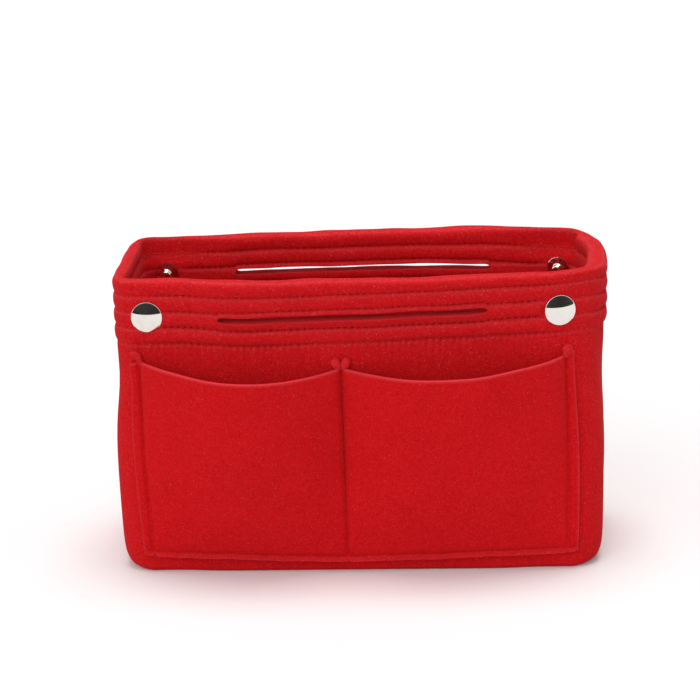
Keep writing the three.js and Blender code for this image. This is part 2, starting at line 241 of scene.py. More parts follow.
def wave(along, across, pattern):
    """Slow fixed unevenness, about -1 to 1, over a length and a height in metres."""
    total = 0
    for order, (each_along, each_up) in enumerate(WAVES):
        angle = 2 * math.pi * (each_along * along + each_up * across) + pattern * (1.7 + order)
        total = total + np.sin(angle) / (1.4 + order)
    return total / 1.6


def facing_out(points, faces):
    """The faces of a closed shell, turned so that they face outwards."""
    volume = 0.0
    for f in faces:
        corners = points[list(f)]
        fan = np.cross(corners[1:-1], corners[2:])
        volume += float((fan @ corners[0]).sum())
    return [f[::-1] for f in faces] if volume < 0 else faces


def add_object(name, data):
    """A new object in the scene."""
    made = bpy.data.objects.new(name, data)
    bpy.context.scene.collection.objects.link(made)
    return made


def make_object(name, points, faces, material, marks=None, sharp=70):
    """A smooth closed mesh object at the origin, facing outwards, with named marks on its points."""
    points = np.asarray(points, float)
    used = np.unique(np.concatenate([np.ravel(f) for f in faces]))
    renumber = np.full(len(points), -1)
    renumber[used] = np.arange(len(used))
    points = points[used]
    faces = facing_out(points, [tuple(renumber[list(f)]) for f in faces])
    mesh = bpy.data.meshes.new(name)
    mesh.from_pydata(points.tolist(), [], [list(map(int, f)) for f in faces])
    for mark, values in (marks or {}).items():
        mesh.attributes.new(mark, "FLOAT", "POINT").data.foreach_set(
            "value", np.asarray(values, np.float32)[used]
        )
    mesh.polygons.foreach_set("use_smooth", [True] * len(mesh.polygons))
    mesh.set_sharp_from_angle(angle=math.radians(sharp))
    mesh.materials.append(material)
    mesh.update()
    return add_object(name, mesh)


def add_node(tree, kind, inputs=None, **settings):
    """Adds a node: its settings first, then the values or links of its sockets."""
    made = tree.nodes.new(kind)
    for key, value in settings.items():
        setattr(made, key, value)
    for key, value in (inputs or {}).items():
        if isinstance(value, Value):
            value = value.socket
        if isinstance(value, bpy.types.NodeSocket):
            tree.links.new(value, made.inputs[key])
        else:
            made.inputs[key].default_value = value
    return made


def quads(ids):
    """The faces between neighbouring columns and nodes of a grid of vertex numbers."""
    corners = [ids[:-1, :-1], ids[1:, :-1], ids[1:, 1:], ids[:-1, 1:]]
    return [tuple(f) for f in np.stack([c.ravel() for c in corners], 1)]


def numbered(rows, columns, first=0):
    """A grid of vertex numbers, counted row by row."""
    return first + np.arange(rows * columns).reshape(rows, columns)


def wrapped(ids):
    """A grid of vertex numbers that closes round: its first column comes again at its end."""
    return np.hstack([ids, ids[:, :1]])


def tube(rings, points_each):
    """The faces of a tube of rings, with both its ends filled."""
    ids = wrapped(numbered(rings, points_each))
    return quads(ids) + [tuple(ids[0, :-1]), tuple(ids[-1, :-1][::-1])]


# The felt strip: one quarter runs from the middle of a long side to the middle of an end


def outline(run, size):
    """Place and outward direction on the strip's outer face, for one quarter of the box."""
    straight = HALF_LENGTH - size.corner
    arc = size.corner * math.pi / 2
    turn = np.clip((run - straight) / size.corner, 0, math.pi / 2)
    x = np.minimum(run, straight) + size.corner * np.sin(turn)
    y = HALF_DEPTH - size.corner * (1 - np.cos(turn)) - np.maximum(run - straight - arc, 0)
    return x, y, np.sin(turn), np.cos(turn)


def quarter_run(size):
    """Length of the strip in one quarter."""
    return HALF_LENGTH + HALF_DEPTH - 2 * size.corner + size.corner * math.pi / 2


def open_corner(x, y, rise, size):
    """Opens the two right corners to a wider curve, more and more towards the rim."""
    reach = size.soft_corner
    into_x = x - (HALF_LENGTH - reach)
    into_y = np.abs(y) - (HALF_DEPTH - reach)
    inside = (into_x > 0) & (into_y > 0)
    across = np.where(inside, into_x, 1.0)
    ahead = np.where(inside, into_y, 1.0)
    angle = np.arctan2(ahead, across)
    flat = reach - size.corner
    along = flat * (np.cos(angle) + np.sin(angle))
    on_arc = along + np.sqrt(np.maximum(along**2 - (2 * flat**2 - size.corner**2), 0))
    on_side = reach / np.maximum(np.cos(angle), np.sin(angle))
    slope = np.minimum(across, ahead) / np.maximum(across, ahead)
    edge = np.where(slope <= flat / reach, on_side, on_arc)
    move = np.where(inside, (reach / edge - 1) * smooth(rise, *CORNER_OPENS), 0)
    return x + into_x * move, y + np.sign(y) * into_y * move


def settle(x, y, z, size):
    """Moves points of the plain box to where the soft felt stands: bellied sides, full ends, slow waves."""
    rise = z / RIM_Z
    from_middle = np.abs(x)
    front = np.clip(y / (SIDE_FADE * HALF_DEPTH), -1, 1)
    side = np.clip(x / (END_FADE * HALF_LENGTH), -1, 1)
    off_floor = smooth(z, *OFF_FLOOR)
    near_end = smooth(from_middle, FOLD_X, HALF_LENGTH)

    # The long sides: a belly that grows towards the rim, slow waves, and a foot that bows a little
    along = np.clip(x / FOLD_X, -1, 1)
    bow = np.cos(along**2 * math.pi / 2) ** 2 * (1 + front * size.belly_twist * along)
    calm = (1 - smooth(from_middle, FREE_STRETCH, 86 * MM)) * off_floor
    ripple = size.unevenness * calm * wave(x, z, SIDE_WAVE + front)
    bowed_foot = 2.4 * size.unevenness * np.exp(-z / (10 * MM))
    bowed_foot = bowed_foot * (1 - smooth(from_middle, FREE_STRETCH, FOLD_X))
    new_y = y + front * (size.belly * bow * rise + ripple + bowed_foot)

    # The ends: full half-way up, and drawn in below the hem and at the floor
    end_bow = np.cos(np.clip(y / (HALF_DEPTH - size.corner), -1, 1) * math.pi / 2) ** 2
    fullness = size.end_fullness * (0.4 + 0.6 * end_bow) * hump(rise, *FULL_ENDS)
    end_ripple = size.unevenness * end_bow * off_floor * wave(y, z, END_WAVE + side)
    drawn_in = sum(share * np.exp(-z / reach) for share, reach in TUCKS)
    drawn_in = size.foot_taper * drawn_in * near_end
    waist = size.end_waist * (1 - 0.35 * side) * hump(rise, *WAIST) * near_end
    new_x = x + side * (fullness + end_ripple - drawn_in - waist)
    new_x, new_y = open_corner(new_x, new_y, rise, size)

    # The rim: both ends lean to the right, and the back right corner stands further in and higher
    past_stud = smooth(from_middle, STUD_X + 6 * MM, HALF_LENGTH)
    back_right = smooth(y, -10 * MM, HALF_DEPTH) * np.where(x > 0, 1, 0)
    leaning = size.end_lean - size.back_lean * back_right
    new_x = new_x + leaning * past_stud * smooth(rise, 0.35, 1)
    back_rise = size.back_rise * back_right * smooth(x, 20 * MM, 80 * MM) * smooth(rise, 0.9, 1)
    slow = 0.6 * size.unevenness * smooth(rise, 0.6, 1) * wave(x + 2 * y, y, RIM_WAVE)
    wander = 0.28 * size.unevenness * smooth(rise, 0.5, 0.8) * wave(2 * x + 3 * y, 4 * z, ROW_WAVE)
    return np.stack(np.broadcast_arrays(new_x, new_y, z + slow + wander + back_rise), -1)


def slit_z(size):
    """Height of the finger slit: between the second and third rows, nearer to the second."""
    return RIM_Z - SLIT_DROP * size.row_pitch


def along_slit(run, bluntness, size):
    """1 nearly all along the slit and 0 past its ends, where it falls off the faster the blunter it is."""
    return np.clip(1 - (np.abs(run) / (size.slit_length / 2)) ** bluntness, 0, None)


def row_lift(run, height, quarter, size):
    """How far the hem's rows are sewn higher on the front, more and more towards its right end."""
    side, face = quarter
    if face > 0:
        return 0 * (run + height)
    along = smooth(side * run, *LIFT_STRETCH) * (1 - smooth(run, 100 * MM, quarter_run(size)))
    below_rim = np.clip((RIM_Z - height) / size.row_pitch, 0, 1)
    last_row = RIM_Z - size.rows * size.row_pitch
    above_foot = smooth(height, last_row - 2 * size.row_pitch, last_row - 0.3 * size.row_pitch)
    return size.row_lift * along * below_rim * above_foot


def on_strip(run, depth, height, above, quarter, size):
    """Places points of the strip: run along it, depth in from its outer face, height above the floor."""
    side, face = quarter
    pull = np.exp(-np.abs(height - slit_z(size)) / size.slit_reach)
    gape = size.slit_gape * along_slit(run, SLIT_BLUNT, size)
    lean = along_slit(run, LEAN_BLUNT, size)
    if face > 0:
        lean = BACK_SLIT_LEAN * lean
        gape = BACK_GAPE * gape
    outer_share = 1 - np.clip(depth / HEM, 0, 1)
    lower = -(1 - UPPER_SHARE) * gape - size.lip_drop * lean * outer_share
    lift = np.where(above, UPPER_SHARE * gape, lower) * pull
    out = np.where(above, UPPER_LEAN, LOWER_LEAN) * size.lip_lean * lean * pull - depth
    x, y, across_x, across_y = outline(run, size)
    lifted = height + lift + row_lift(run, height, quarter, size)
    return settle(side * (x + across_x * out), face * (y + across_y * out), lifted, size)


def row_pull(row):
    """How tightly a row of the hem is sewn, counted from the rim."""
    return np.interp(row, np.arange(1, len(ROW_TIGHTNESS) + 1), ROW_TIGHTNESS)


def quilting(run, height, quarter, size):
    """How far the hem's face stands proud: swollen between its rows and pulled in along them."""
    phase = (RIM_Z - height) / size.row_pitch
    part = (np.clip(phase, 0, size.rows) % 1) ** CHANNEL_POWER
    arch = np.where(phase < size.rows, 4 * part * (1 - part), 0)
    arch = np.where(phase < CROWN_PHASE, CROWN_FULL + (1 - CROWN_FULL) * arch, arch)
    row = np.clip(np.round(phase), 1, size.rows)
    nearest = np.abs(phase - row) * size.row_pitch
    width = np.where(phase > size.rows, 4 * size.dent_width, size.dent_width)
    groove = hump(nearest, 0, width) * row_pull(row)
    hole = 0.5 + 0.5 * np.cos(2 * math.pi * run / size.stitch_pitch)
    pulled = (BETWEEN_HOLES + AT_HOLE * hole**2) * (1 + 0.25 * wave(2.3 * run, height, PULL_WAVE))
    plump = 1 + 0.35 * wave(1.6 * run, height, PLUMP_WAVE)
    swell = size.puff * arch * plump - size.dent * groove * pulled
    round_corner = smooth(run, *CORNER_START) * (1 - 0.7 * smooth(run, *CORNER_END))
    swell = swell * (1 - 0.5 * round_corner)
    from_stud = np.hypot(run - STUD_X, height + row_lift(run, height, quarter, size) - STUD_Z)
    free = smooth(from_stud, SEAT_FLAT, SEAT_FREE)
    return swell * free + SEAT_GAP * (1 - free)


def pressed_inside(run, height, swell, size):
    """The swell of the hem's inner face: pressed flat near the studs, where the sides meet when pinched."""
    near_stud = stretch(run, *PRESSED_STRETCH)
    above_stud = smooth(height, STUD_Z + 5 * MM, STUD_Z + 9 * MM)
    drawn_back = (0.9 + 1.2 * smooth(run, 66 * MM, 93 * MM)) * MM
    most = size.puff * (1.6 - 1.5 * near_stud) - drawn_back * near_stud * above_stud
    return np.minimum(swell, most)


def hem_join(run, quarter, size):
    """How far the overlapped join stands proud of the hem's inner face: one raw edge, then a long slope."""
    if quarter != (1, 1):
        return 0 * run
    edge = size.lap_run
    return size.lap * stretch(run, edge - 0.6 * MM, edge + 0.6 * MM, edge + 8 * MM, edge + 20 * MM)


def spread(first, last, steps):
    """Heights from first up to but not including last, closer together near both."""
    t = (1 - np.cos(np.linspace(0, math.pi, steps + 1)[:-1])) / 2
    return first + (last - first) * t


def hem_row_heights(size):
    """Heights of the hem's stitch rows, from the rim down."""
    return [RIM_Z - size.row_pitch * (k + 1) for k in range(size.rows)]


def strip_section(size):
    """The strip's section in three lines of nodes: outer face up to the slit, over the rim, inner face.

    A node is (depth, height, push in depth, push in height, cut): push is how the quilting moves it.
    """
    rows = hem_row_heights(size)
    slit = slit_z(size)
    hem_bottom = rows[-1] - size.hem_edge
    lining_top = hem_bottom - 0.6 * MM
    roll = size.foot_roll
    turns = np.linspace(0, math.pi / 2, 8)
    outer = [(roll + size.foot_lap, 0, 0, 0, 0)]
    outer += [(roll - roll * math.sin(a), roll - roll * math.cos(a), 0, 0, 0) for a in turns]
    low_heights = [
        *(roll + (hem_bottom - roll) * np.linspace(0, 1, 24)[1:-1] ** 1.6),
        *spread(hem_bottom, rows[3], 4),
        *spread(rows[3], rows[2], 9),
        *spread(rows[2], slit, 5),
    ]
    outer += [(0, z, -1, 0, 0) for z in low_heights]
    outer += [(0, slit, -1, 0, 0.5)]
    half = HEM / 2
    shoulder = RIM_Z - half
    rising = [*spread(slit, rows[1], 5)[1:], *spread(rows[1], rows[0], 9), *spread(rows[0], shoulder, 6)]
    crown = [(0, slit, -1, 0, 0.5)] + [(0, z, -1, 0, 0) for z in rising]
    crown += [
        (half * (1 - math.cos(a)), shoulder + half * math.sin(a), -math.cos(a), math.sin(a), 0)
        for a in np.linspace(0, math.pi, 15)
    ]
    crown += [(HEM, z, 1, 0, 0) for z in rising[::-1]]
    crown += [(HEM, slit, 1, 0, 1)]
    inner = [(HEM, slit, 1, 0, 1)]
    inner += [(HEM, z, 1, 0, 0) for z in low_heights[::-1] if z > hem_bottom + 0.3 * MM]
    edge = HEM - FELT
    inner += [
        (HEM, hem_bottom + 0.5 * MM, 0, 0, 0.8),
        (FELT + 0.85 * edge, hem_bottom, 0, 0, 1),
        (FELT + 0.25 * edge, hem_bottom, 0, 0, 1),
        (FELT, lining_top, 0, 0, 0.2),
    ]
    inside = max(roll - FELT, 0.6 * MM)
    bend = FELT + inside
    inner += [(FELT, bend + (lining_top - bend) * t**1.6, 0, 0, 0) for t in np.linspace(1, 0, 20)[1:]]
    inner += [(bend - inside * math.cos(a), bend - inside * math.sin(a), 0, 0, 0) for a in turns[1:]]
    inner += [(roll + size.foot_lap, FELT, 0, 0, 0)]
    return [np.array(line) for line in (outer, crown, inner)]


def band_fuzz_and_highlight(height, size):
    """How fuzzy and pale the felt is painted: a painted highlight just under each row of the hem, at each
    channel's top where it faces the light, fading down to the next row, and least on the plain wall.
    """
    phase = (RIM_Z - height) / size.row_pitch
    part = np.clip(phase - np.floor(np.maximum(phase, 0)), 0, 1)
    # Painted highlight at the top of each channel, under its row, fading down the channel
    hem = 0.3 + 0.3 * (1 - part) ** 2 + 0.45 * hump(part, 0.14, 0.1)
    last = np.maximum(phase - size.rows, 0)
    # Below the hem the same painted highlight runs just under the lowest row
    below = 0.3 + 0.3 * np.exp(-last / 0.25) + 0.4 * hump(last, 0.14, 0.1)
    return np.where(phase < size.rows, hem, below)


def zipped(points, left, right):
    """Triangles between two lines of vertex numbers that run side by side."""
    faces = []
    i = j = 0
    while i < len(left) - 1 or j < len(right) - 1:
        step_left = step_right = math.inf
        if i < len(left) - 1:
            step_left = np.linalg.norm(points[left[i + 1]] - points[right[j]])
        if j < len(right) - 1:
            step_right = np.linalg.norm(points[left[i]] - points[right[j + 1]])
        if step_left <= step_right:
            faces.append((left[i], left[i + 1], right[j]))
            i += 1
        else:
            faces.append((left[i], right[j + 1], right[j]))
            j += 1
    return faces


def strip_piece(name, quarter, first, last, columns, size, material):
    """One closed piece of the felt strip, between two places along it, with its part of the slit."""
    runs = np.linspace(first, last, columns + 1)
    lines, ids, marks, fuzz_and_highlight = [], [], [], []
    count = 0
    for line, above in zip(strip_section(size), (False, True, False)):
        depth, height, push_in, push_up, cut = line.T
        swell = quilting(runs[:, None], height[None, :], quarter, size)
        joined = hem_join(runs, quarter, size)[:, None] * np.clip(push_in, 0, 1)[None, :]
        pressed = pressed_inside(runs[:, None], height[None, :], swell, size)
        deep = depth + push_in * np.where(push_in > 0, pressed, swell) + joined
        placed = on_strip(runs[:, None], deep, height + push_up * swell, above, quarter, size)
        shape = placed.shape[:2]
        lines.append(placed)
        ids.append(numbered(*shape, count))
        marks.append(np.broadcast_to(cut, shape).copy())
        # The second mark carries the painted highlight under the hem's rows
        fuzz_and_highlight.append(np.broadcast_to(band_fuzz_and_highlight(height, size), shape).ravel())
        count += ids[-1].size
    outer, crown, inner = ids
    is_open = along_slit(runs, SLIT_BLUNT, size) > TINY
    shut = ~is_open
    for mark, edge in ((marks[0], -1), (marks[1], 0), (marks[1], -1), (marks[2], 0)):
        mark[shut, edge] = 0
    crown[shut, 0] = outer[shut, -1]
    inner[shut, 0] = crown[shut, -1]
    points = [line.reshape(-1, 3) for line in lines]
    marks = [mark.ravel() for mark in marks]
    faces = quads(outer) + quads(crown) + quads(inner)
    faces += quads(np.stack([inner[:, -1], outer[:, 0]], 1))
    roof = floor = None
    if is_open.any():
        steps = np.linspace(0, 1, 6)[None, 1:-1, None]
        mouth = slice(0, int(is_open.sum()) + 1)
        low_out, high_out = lines[0][mouth, -1:], lines[1][mouth, :1]
        upper = high_out + (lines[1][mouth, -1:] - high_out) * steps
        lower = low_out + (lines[2][mouth, :1] - low_out) * steps
        roof = numbered(*upper.shape[:2], count)
        floor = numbered(*roof.shape, count + roof.size)
        floor[-1] = roof[-1]
        points += [upper.reshape(-1, 3), lower.reshape(-1, 3)]
        marks.append(np.full(2 * roof.size, 0.4))
        fuzz_and_highlight.append(np.full(2 * roof.size, 0.5))
        roof = np.hstack([crown[mouth, -1:], roof[:, ::-1], crown[mouth, :1]])
        floor = np.hstack([outer[mouth, -1:], floor, inner[mouth, :1]])
        faces += quads(roof) + quads(floor)
    points = np.vstack(points)
    top = crown.shape[1] // 2
    for column, order in ((0, 1), (-1, -1)):
        if is_open[column]:
            ends = [
                [*outer[column], *floor[column][1:-1], *inner[column]],
                [*crown[column], *roof[column][1:-1]],
            ]
        else:
            out_side = [*outer[column], *crown[column][1 : top + 1]]
            in_side = [*inner[column][:0:-1], *crown[column][:top:-1]]
            ends = zipped(points, out_side, in_side)
        faces += [tuple(end[::-order]) for end in ends]
    marks = {"cut": np.concatenate(marks), "fuzz_and_highlight": np.concatenate(fuzz_and_highlight)}
    return make_object(name, points, faces, material, marks)


def strip_quarters():
    """Each quarter of the box: its side and face names and its signs."""
    return [(side, face, (SIDES[side], FACES[face])) for face in FACES for side in SIDES]


def bend_with_wall(piece, side, face):
    """Puts a piece on a long side in place, its transform baked into its points."""
    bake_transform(piece)


def bend_with_end(piece, side, face):
    """Puts a piece round a corner in place, its transform baked into its points."""
    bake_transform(piece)


# Stitches


def stitch_tree():
    """Geometry nodes that sew along each path: one arched thread for each step, laid on the cloth."""
    tree = bpy.data.node_groups.new("Sewn stitches", "GeometryNodeTree")
    sockets = (
        ("Path", "NodeSocketGeometry"),
        ("Pitch", "NodeSocketFloat"),
        ("Stitch length", "NodeSocketFloat"),
        ("Thread radius", "NodeSocketFloat"),
        ("Seed", "NodeSocketInt"),
        ("Thread", "NodeSocketMaterial"),
    )
    for name, kind in sockets:
        tree.interface.new_socket(name, in_out="INPUT", socket_type=kind)
    tree.interface.new_socket("Stitches", in_out="OUTPUT", socket_type="NodeSocketGeometry")

    def node(kind, inputs=None, **settings):
        return add_node(tree, kind, inputs, **settings).outputs

    def times(value, factor):
        return node("ShaderNodeMath", {0: value, 1: factor}, operation="MULTIPLY")[0]

    given = node("NodeGroupInput")
    path = node("GeometryNodeMeshToCurve", {"Mesh": given["Path"]})["Curve"]
    holes = node("GeometryNodeResampleCurve", {"Curve": path, "Length": given["Pitch"]}, mode="LENGTH")

    # One stitch: its ends sink into the cloth and its middle stands proud of it
    radius = given["Thread radius"]
    half = times(given["Stitch length"], 0.5)
    back = times(half, -1.0)
    sunk = times(radius, -1.3)
    proud = times(radius, 1.9)
    arch = node(
        "GeometryNodeCurveQuadraticBezier",
        {
            "Resolution": 5,
            "Start": node("ShaderNodeCombineXYZ", {"X": back, "Z": sunk})[0],
            "Middle": node("ShaderNodeCombineXYZ", {"Z": proud})[0],
            "End": node("ShaderNodeCombineXYZ", {"X": half, "Z": sunk})[0],
        },
    )["Curve"]
    ply = node("GeometryNodeCurvePrimitiveCircle", {"Resolution": 6, "Radius": radius})["Curve"]
    stitch = node("GeometryNodeCurveToMesh", {"Curve": arch, "Profile Curve": ply, "Fill Caps": True})

    # Each stitch lies along its path, upright on the cloth, and none is quite like the next
    tangent = node("GeometryNodeInputTangent")["Tangent"]
    outward = node("GeometryNodeInputNamedAttribute", {"Name": "outward"}, data_type="FLOAT_VECTOR")
    along = node("FunctionNodeAlignRotationToVector", {"Vector": tangent}, axis="X")
    upright = node(
        "FunctionNodeAlignRotationToVector",
        {"Rotation": along["Rotation"], "Vector": outward["Attribute"]},
        axis="Z",
        pivot_axis="X",
    )
    drawn = {"Min": 0.9, "Max": 1.08, "Seed": given["Seed"]}
    sizes = node("FunctionNodeRandomValue", drawn, data_type="FLOAT")
    laid = node(
        "GeometryNodeInstanceOnPoints",
        {
            "Points": holes["Curve"],
            "Instance": stitch["Mesh"],
            "Rotation": upright["Rotation"],
            "Scale": [s for s in sizes if s.enabled][0],
        },
    )
    real = node("GeometryNodeRealizeInstances", {"Geometry": laid["Instances"]})
    soft = node("GeometryNodeSetShadeSmooth", {"Geometry": real["Geometry"]})
    done = node("GeometryNodeSetMaterial", {"Geometry": soft["Geometry"], "Material": given["Thread"]})
    node("NodeGroupOutput", {"Stitches": done["Geometry"]})
    return tree


def sew(name, paths, size, material, seed):
    """Sews along paths, each a row of places and outward directions, and returns the stitches as a mesh."""
    tree = bpy.data.node_groups.get("Sewn stitches") or stitch_tree()
    points, edges, outward = [], [], []
    for places, out in paths:
        start = len(points)
        points += [tuple(p) for p in places]
        outward += [tuple(o) for o in out]
        edges += [(start + k, start + k + 1) for k in range(len(places) - 1)]
    guide_mesh = bpy.data.meshes.new(name + "_guide")
    guide_mesh.from_pydata(points, edges, [])
    guide_mesh.attributes.new("outward", "FLOAT_VECTOR", "POINT").data.foreach_set(
        "vector", np.asarray(outward, np.float32).ravel()
    )
    guide = add_object(name + "_guide", guide_mesh)
    modifier = guide.modifiers.new("Sewn stitches", "NODES")
    modifier.node_group = tree
    values = {
        "Pitch": size.stitch_pitch,
        "Stitch length": size.stitch_length,
        "Thread radius": size.thread,
        "Seed": seed,
        "Thread": material,
    }
    for item in tree.interface.items_tree:
        if item.in_out == "INPUT" and item.name in values:
            modifier[item.identifier] = values[item.name]
    graph = bpy.context.evaluated_depsgraph_get()
    mesh = bpy.data.meshes.new_from_object(guide.evaluated_get(graph))
    if not len(mesh.polygons):
        raise RuntimeError(f"{name}: no stitches were made")
    mesh.name = name
    bpy.data.objects.remove(guide)
    return add_object(name, mesh)


def hem_paths(quarter, first, last, size):
    """The hem's rows over one piece of the strip, on its outer and inner faces."""
    side, face = quarter
    runs = np.arange(first + size.stitch_pitch / 2, last, size.stitch_pitch / 4)
    _, _, across_x, across_y = outline(runs, size)
    outward = np.stack([side * across_x, face * across_y, 0 * runs], 1)
    paths = []
    joined = hem_join(runs, quarter, size)
    for row, height in enumerate(hem_row_heights(size), 1):
        above = height > slit_z(size)
        sunk = size.dent * float(row_pull(row)) - 0.6 * size.thread
        for depth, way in ((sunk, 1), (HEM - sunk + joined, -1)):
            places = on_strip(runs, depth, height, above, quarter, size)
            paths.append((places, way * outward))
    if quarter == (1, 1) and last > size.lap_run > first:
        heights = np.arange(hem_row_heights(size)[-1] - 1 * MM, RIM_Z - 4 * MM, size.stitch_pitch / 4)
        run = size.lap_run + 2.5 * MM
        depth = HEM + size.lap + quilting(run, heights, quarter, size)
        places = on_strip(run + 0 * heights, depth, heights, heights > slit_z(size), quarter, size)
        _, _, inward_x, inward_y = outline(np.array(run), size)
        paths.append((places, np.tile([-side * inward_x, -face * inward_y, 0.0], (len(places), 1))))
    return paths


# Pockets


def crowded(steps):
    """Shares from just past 0 up to 1, closer together near both."""
    t = np.linspace(0, 1, steps + 1)[1:]
    return 0.6 * t + 0.4 * (1 - np.cos(math.pi * t)) / 2


class PocketForm:
    """The shape of half a pocket panel: one pocket from its raw outer edge to the middle seam."""

    def __init__(self, side, face, size):
        self.side, self.face, self.size = SIDES[side], FACES[face], size
        front = face == "front"
        flare = 3 * MM if front and side == "left" else 0.5 * MM
        self.edge_low = POCKET_HIGH.x + 0.3 * MM
        self.edge_high = self.edge_low + flare
        self.centre = self.side * size.pocket_centre if front else 0.0
        self.width = self.edge_low - self.centre
        self.looped = front and side == "left"
        self.top_edge = POCKET_HIGH.z + 0.9 * MM
        self.top_centre = POCKET_HIGH.z - 2.0 * MM
        self.foot_edge = POCKET_LOW.z + 1.4 * MM
        self.foot_centre = POCKET_LOW.z - 0.9 * MM

    def between_seams(self, across):
        """0 at the side stitch line, 1 at the middle seam."""
        seam = self.size.pocket_seam
        return np.clip((across - seam) / (self.width - seam), 0, 1)

    def arch(self, across):
        """How far the felt is from both seams: 0 at either, 1 half-way."""
        return 1 - np.abs(2 * self.between_seams(across) - 1) ** self.size.pocket_fullness

    def mouth(self, across):
        """Height of the top edge, by distance from the raw outer edge."""
        s = self.between_seams(across)
        hang = 1 - np.abs(2 * s - 1) ** 2
        level = self.top_edge + (self.top_centre - self.top_edge) * s
        corner = (-0.2 if self.looped else 0.3) * self.size.ear
        corner = corner * hump(across, 1.2 * MM, 2.4 * MM)
        return level - self.size.pocket_dip * hang + corner

    def foot(self, across):
        """Height of the raw lower edge, which sags towards the middle seam."""
        s = self.between_seams(across)
        sag = self.foot_edge + (self.foot_centre - self.foot_edge) * s**1.3
        rounded = 1.6 * MM * np.exp(-across / (2.0 * MM))
        uneven = wave(across, 0, FOOT_WAVE) + wave(3.4 * across, 0, FRAY_WAVE)
        return sag + rounded + 0.3 * MM * uneven

    def rise(self, across, height):
        """0 at the bottom stitch line, 1 at the mouth."""
        seam = self.foot(across) + self.size.pocket_foot
        return np.clip((height - seam) / (self.mouth(across) - seam), 0, 1)

    def stand_out(self, across, height):
        """How far the sheet's inner face stands out from the wall, and how thick it is."""
        size = self.size
        arch = self.arch(across)
        rise = self.rise(across, height)
        bulge = size.pocket_bulge * arch * np.sin(rise * math.pi / 2)
        from_foot = height - self.foot(across) - size.pocket_foot
        from_side = across - size.pocket_seam
        bulge = bulge + 0.5 * MM * arch * rise * wave(across, height, MOUTH_WAVE + self.side)
        lifted = 0.9 * MM * np.clip(-from_foot / size.pocket_foot, 0, 1)
        lifted = lifted * smooth(across, 3 * MM, 20 * MM)
        nearest = np.minimum(np.abs(from_side), np.minimum(self.width - across, np.abs(from_foot)))
        pressed = (1.3 + 0.2 * rise) * MM * hump(nearest, 0, 1.1 * MM)
        return np.maximum(bulge, 0) + lifted, size.pocket_felt - pressed

    def place(self, across, out, height):
        """Where a point of the panel stands, by its distance from the raw edge and from the wall."""
        up = np.clip((height - POCKET_LOW.z) / (POCKET_HIGH.z - POCKET_LOW.z), 0, 1)
        edge = self.edge_low + (self.edge_high - self.edge_low) * up
        run = edge + (self.centre - edge) * across / self.width
        x, y, across_x, across_y = outline(run, self.size)
        return settle(self.side * (x + across_x * out), self.face * (y + across_y * out), height, self.size)

    def grid(self):
        """Distances from the raw edge and heights, closer together near the seams."""
        size = self.size
        seam = size.pocket_seam
        across = np.concatenate([np.linspace(0, seam, 9), seam + (self.width - seam) * crowded(100)])
        foot = self.foot(across)[:, None]
        mouth = self.mouth(across)[:, None]
        low = foot + np.linspace(0, size.pocket_foot, 7)[None, :]
        height = np.hstack([low, low[:, -1:] + (mouth - low[:, -1:]) * crowded(85)[None, :]])
        return across[:, None] + 0 * height, height

    def surfaces(self):
        """Distances and heights of the grid, and how far the outer and inner faces stand out."""
        across, height = self.grid()
        bulge, thick = self.stand_out(across, height)
        slope_x = np.gradient(bulge, axis=0) / np.gradient(across, axis=0)
        slope_z = np.gradient(bulge, axis=1) / np.maximum(np.gradient(height, axis=1), 1e-6)
        steep = np.sqrt(1 + slope_x**2 + slope_z**2)
        inner = bulge + POCKET_GAP
        return across, height, inner + thick * np.minimum(steep, 1.4), inner


def pleat(place, path, depth, thick):
    """A small rounded pleat of felt along a path of (across, height) points, standing out from the wall."""
    path = np.array(path)
    knots = np.linspace(0, 1, len(path))
    t = (1 - np.cos(np.linspace(0, math.pi, 24))) / 2
    line = np.stack([np.interp(t, knots, path[:, k]) for k in (0, 1)], 1)
    for _ in range(5):
        line[1:-1] = (line[:-2] + 2 * line[1:-1] + line[2:]) / 4
    along = np.gradient(line, axis=0)
    along /= np.linalg.norm(along, axis=1)[:, None]
    across = np.stack([-along[:, 1], along[:, 0]], 1)
    full = np.sqrt(np.clip(1 - np.abs((t - 0.45) / 0.56) ** 3, 0.01, None))
    points = []
    angles = np.linspace(0, 2 * math.pi, 20, endpoint=False)
    for spot, way, share in zip(line, across, full):
        for a in angles:
            side = np.sign(math.cos(a)) * abs(math.cos(a)) ** 0.7 * thick / 2 * share
            fold = 0.16 * hump(side, 0, 0.16 * thick) if math.sin(a) > 0 else 0.0
            out = depth * (0.5 + share * (0.5 * np.sign(math.sin(a)) * abs(math.sin(a)) ** 0.6 - fold))
            spread_x, height = spot + way * side
            points.append(place(np.array(spread_x), np.array(POCKET_GAP + out), np.array(height)))
    return np.array(points).reshape(-1, 3), tube(len(line), len(angles))


def pad(place, centre, half_width, half_height, tilt, depth):
    """A small rounded cushion of felt standing out from the wall, round a point of (across, height)."""
    swing = np.linspace(0, math.pi, 16)[1:-1, None]
    angles = np.linspace(0, 2 * math.pi, 30, endpoint=False)[None, :]
    reach = np.sin(swing) ** 0.55
    wide = half_width * reach * np.cos(angles) * (1 + 0.3 * np.sin(angles))
    high = half_height * reach * np.sin(angles)
    across = centre[0] + wide * math.cos(tilt) - high * math.sin(tilt)
    height = centre[1] + wide * math.sin(tilt) + high * math.cos(tilt)
    out = POCKET_GAP + depth * (0.5 + 0.5 * np.cos(swing)) + 0 * across
    poles = place(np.full(2, centre[0]), POCKET_GAP + np.array([depth, 0]), np.full(2, centre[1]))
    points = np.vstack([place(across, out, height).reshape(-1, 3), poles])
    ids = wrapped(numbered(*across.shape))
    near, far = across.size, across.size + 1
    faces = quads(ids)
    faces += [(near, ids[0, k], ids[0, k + 1]) for k in range(ids.shape[1] - 1)]
    faces += [(far, ids[-1, k + 1], ids[-1, k]) for k in range(ids.shape[1] - 1)]
    return points, faces


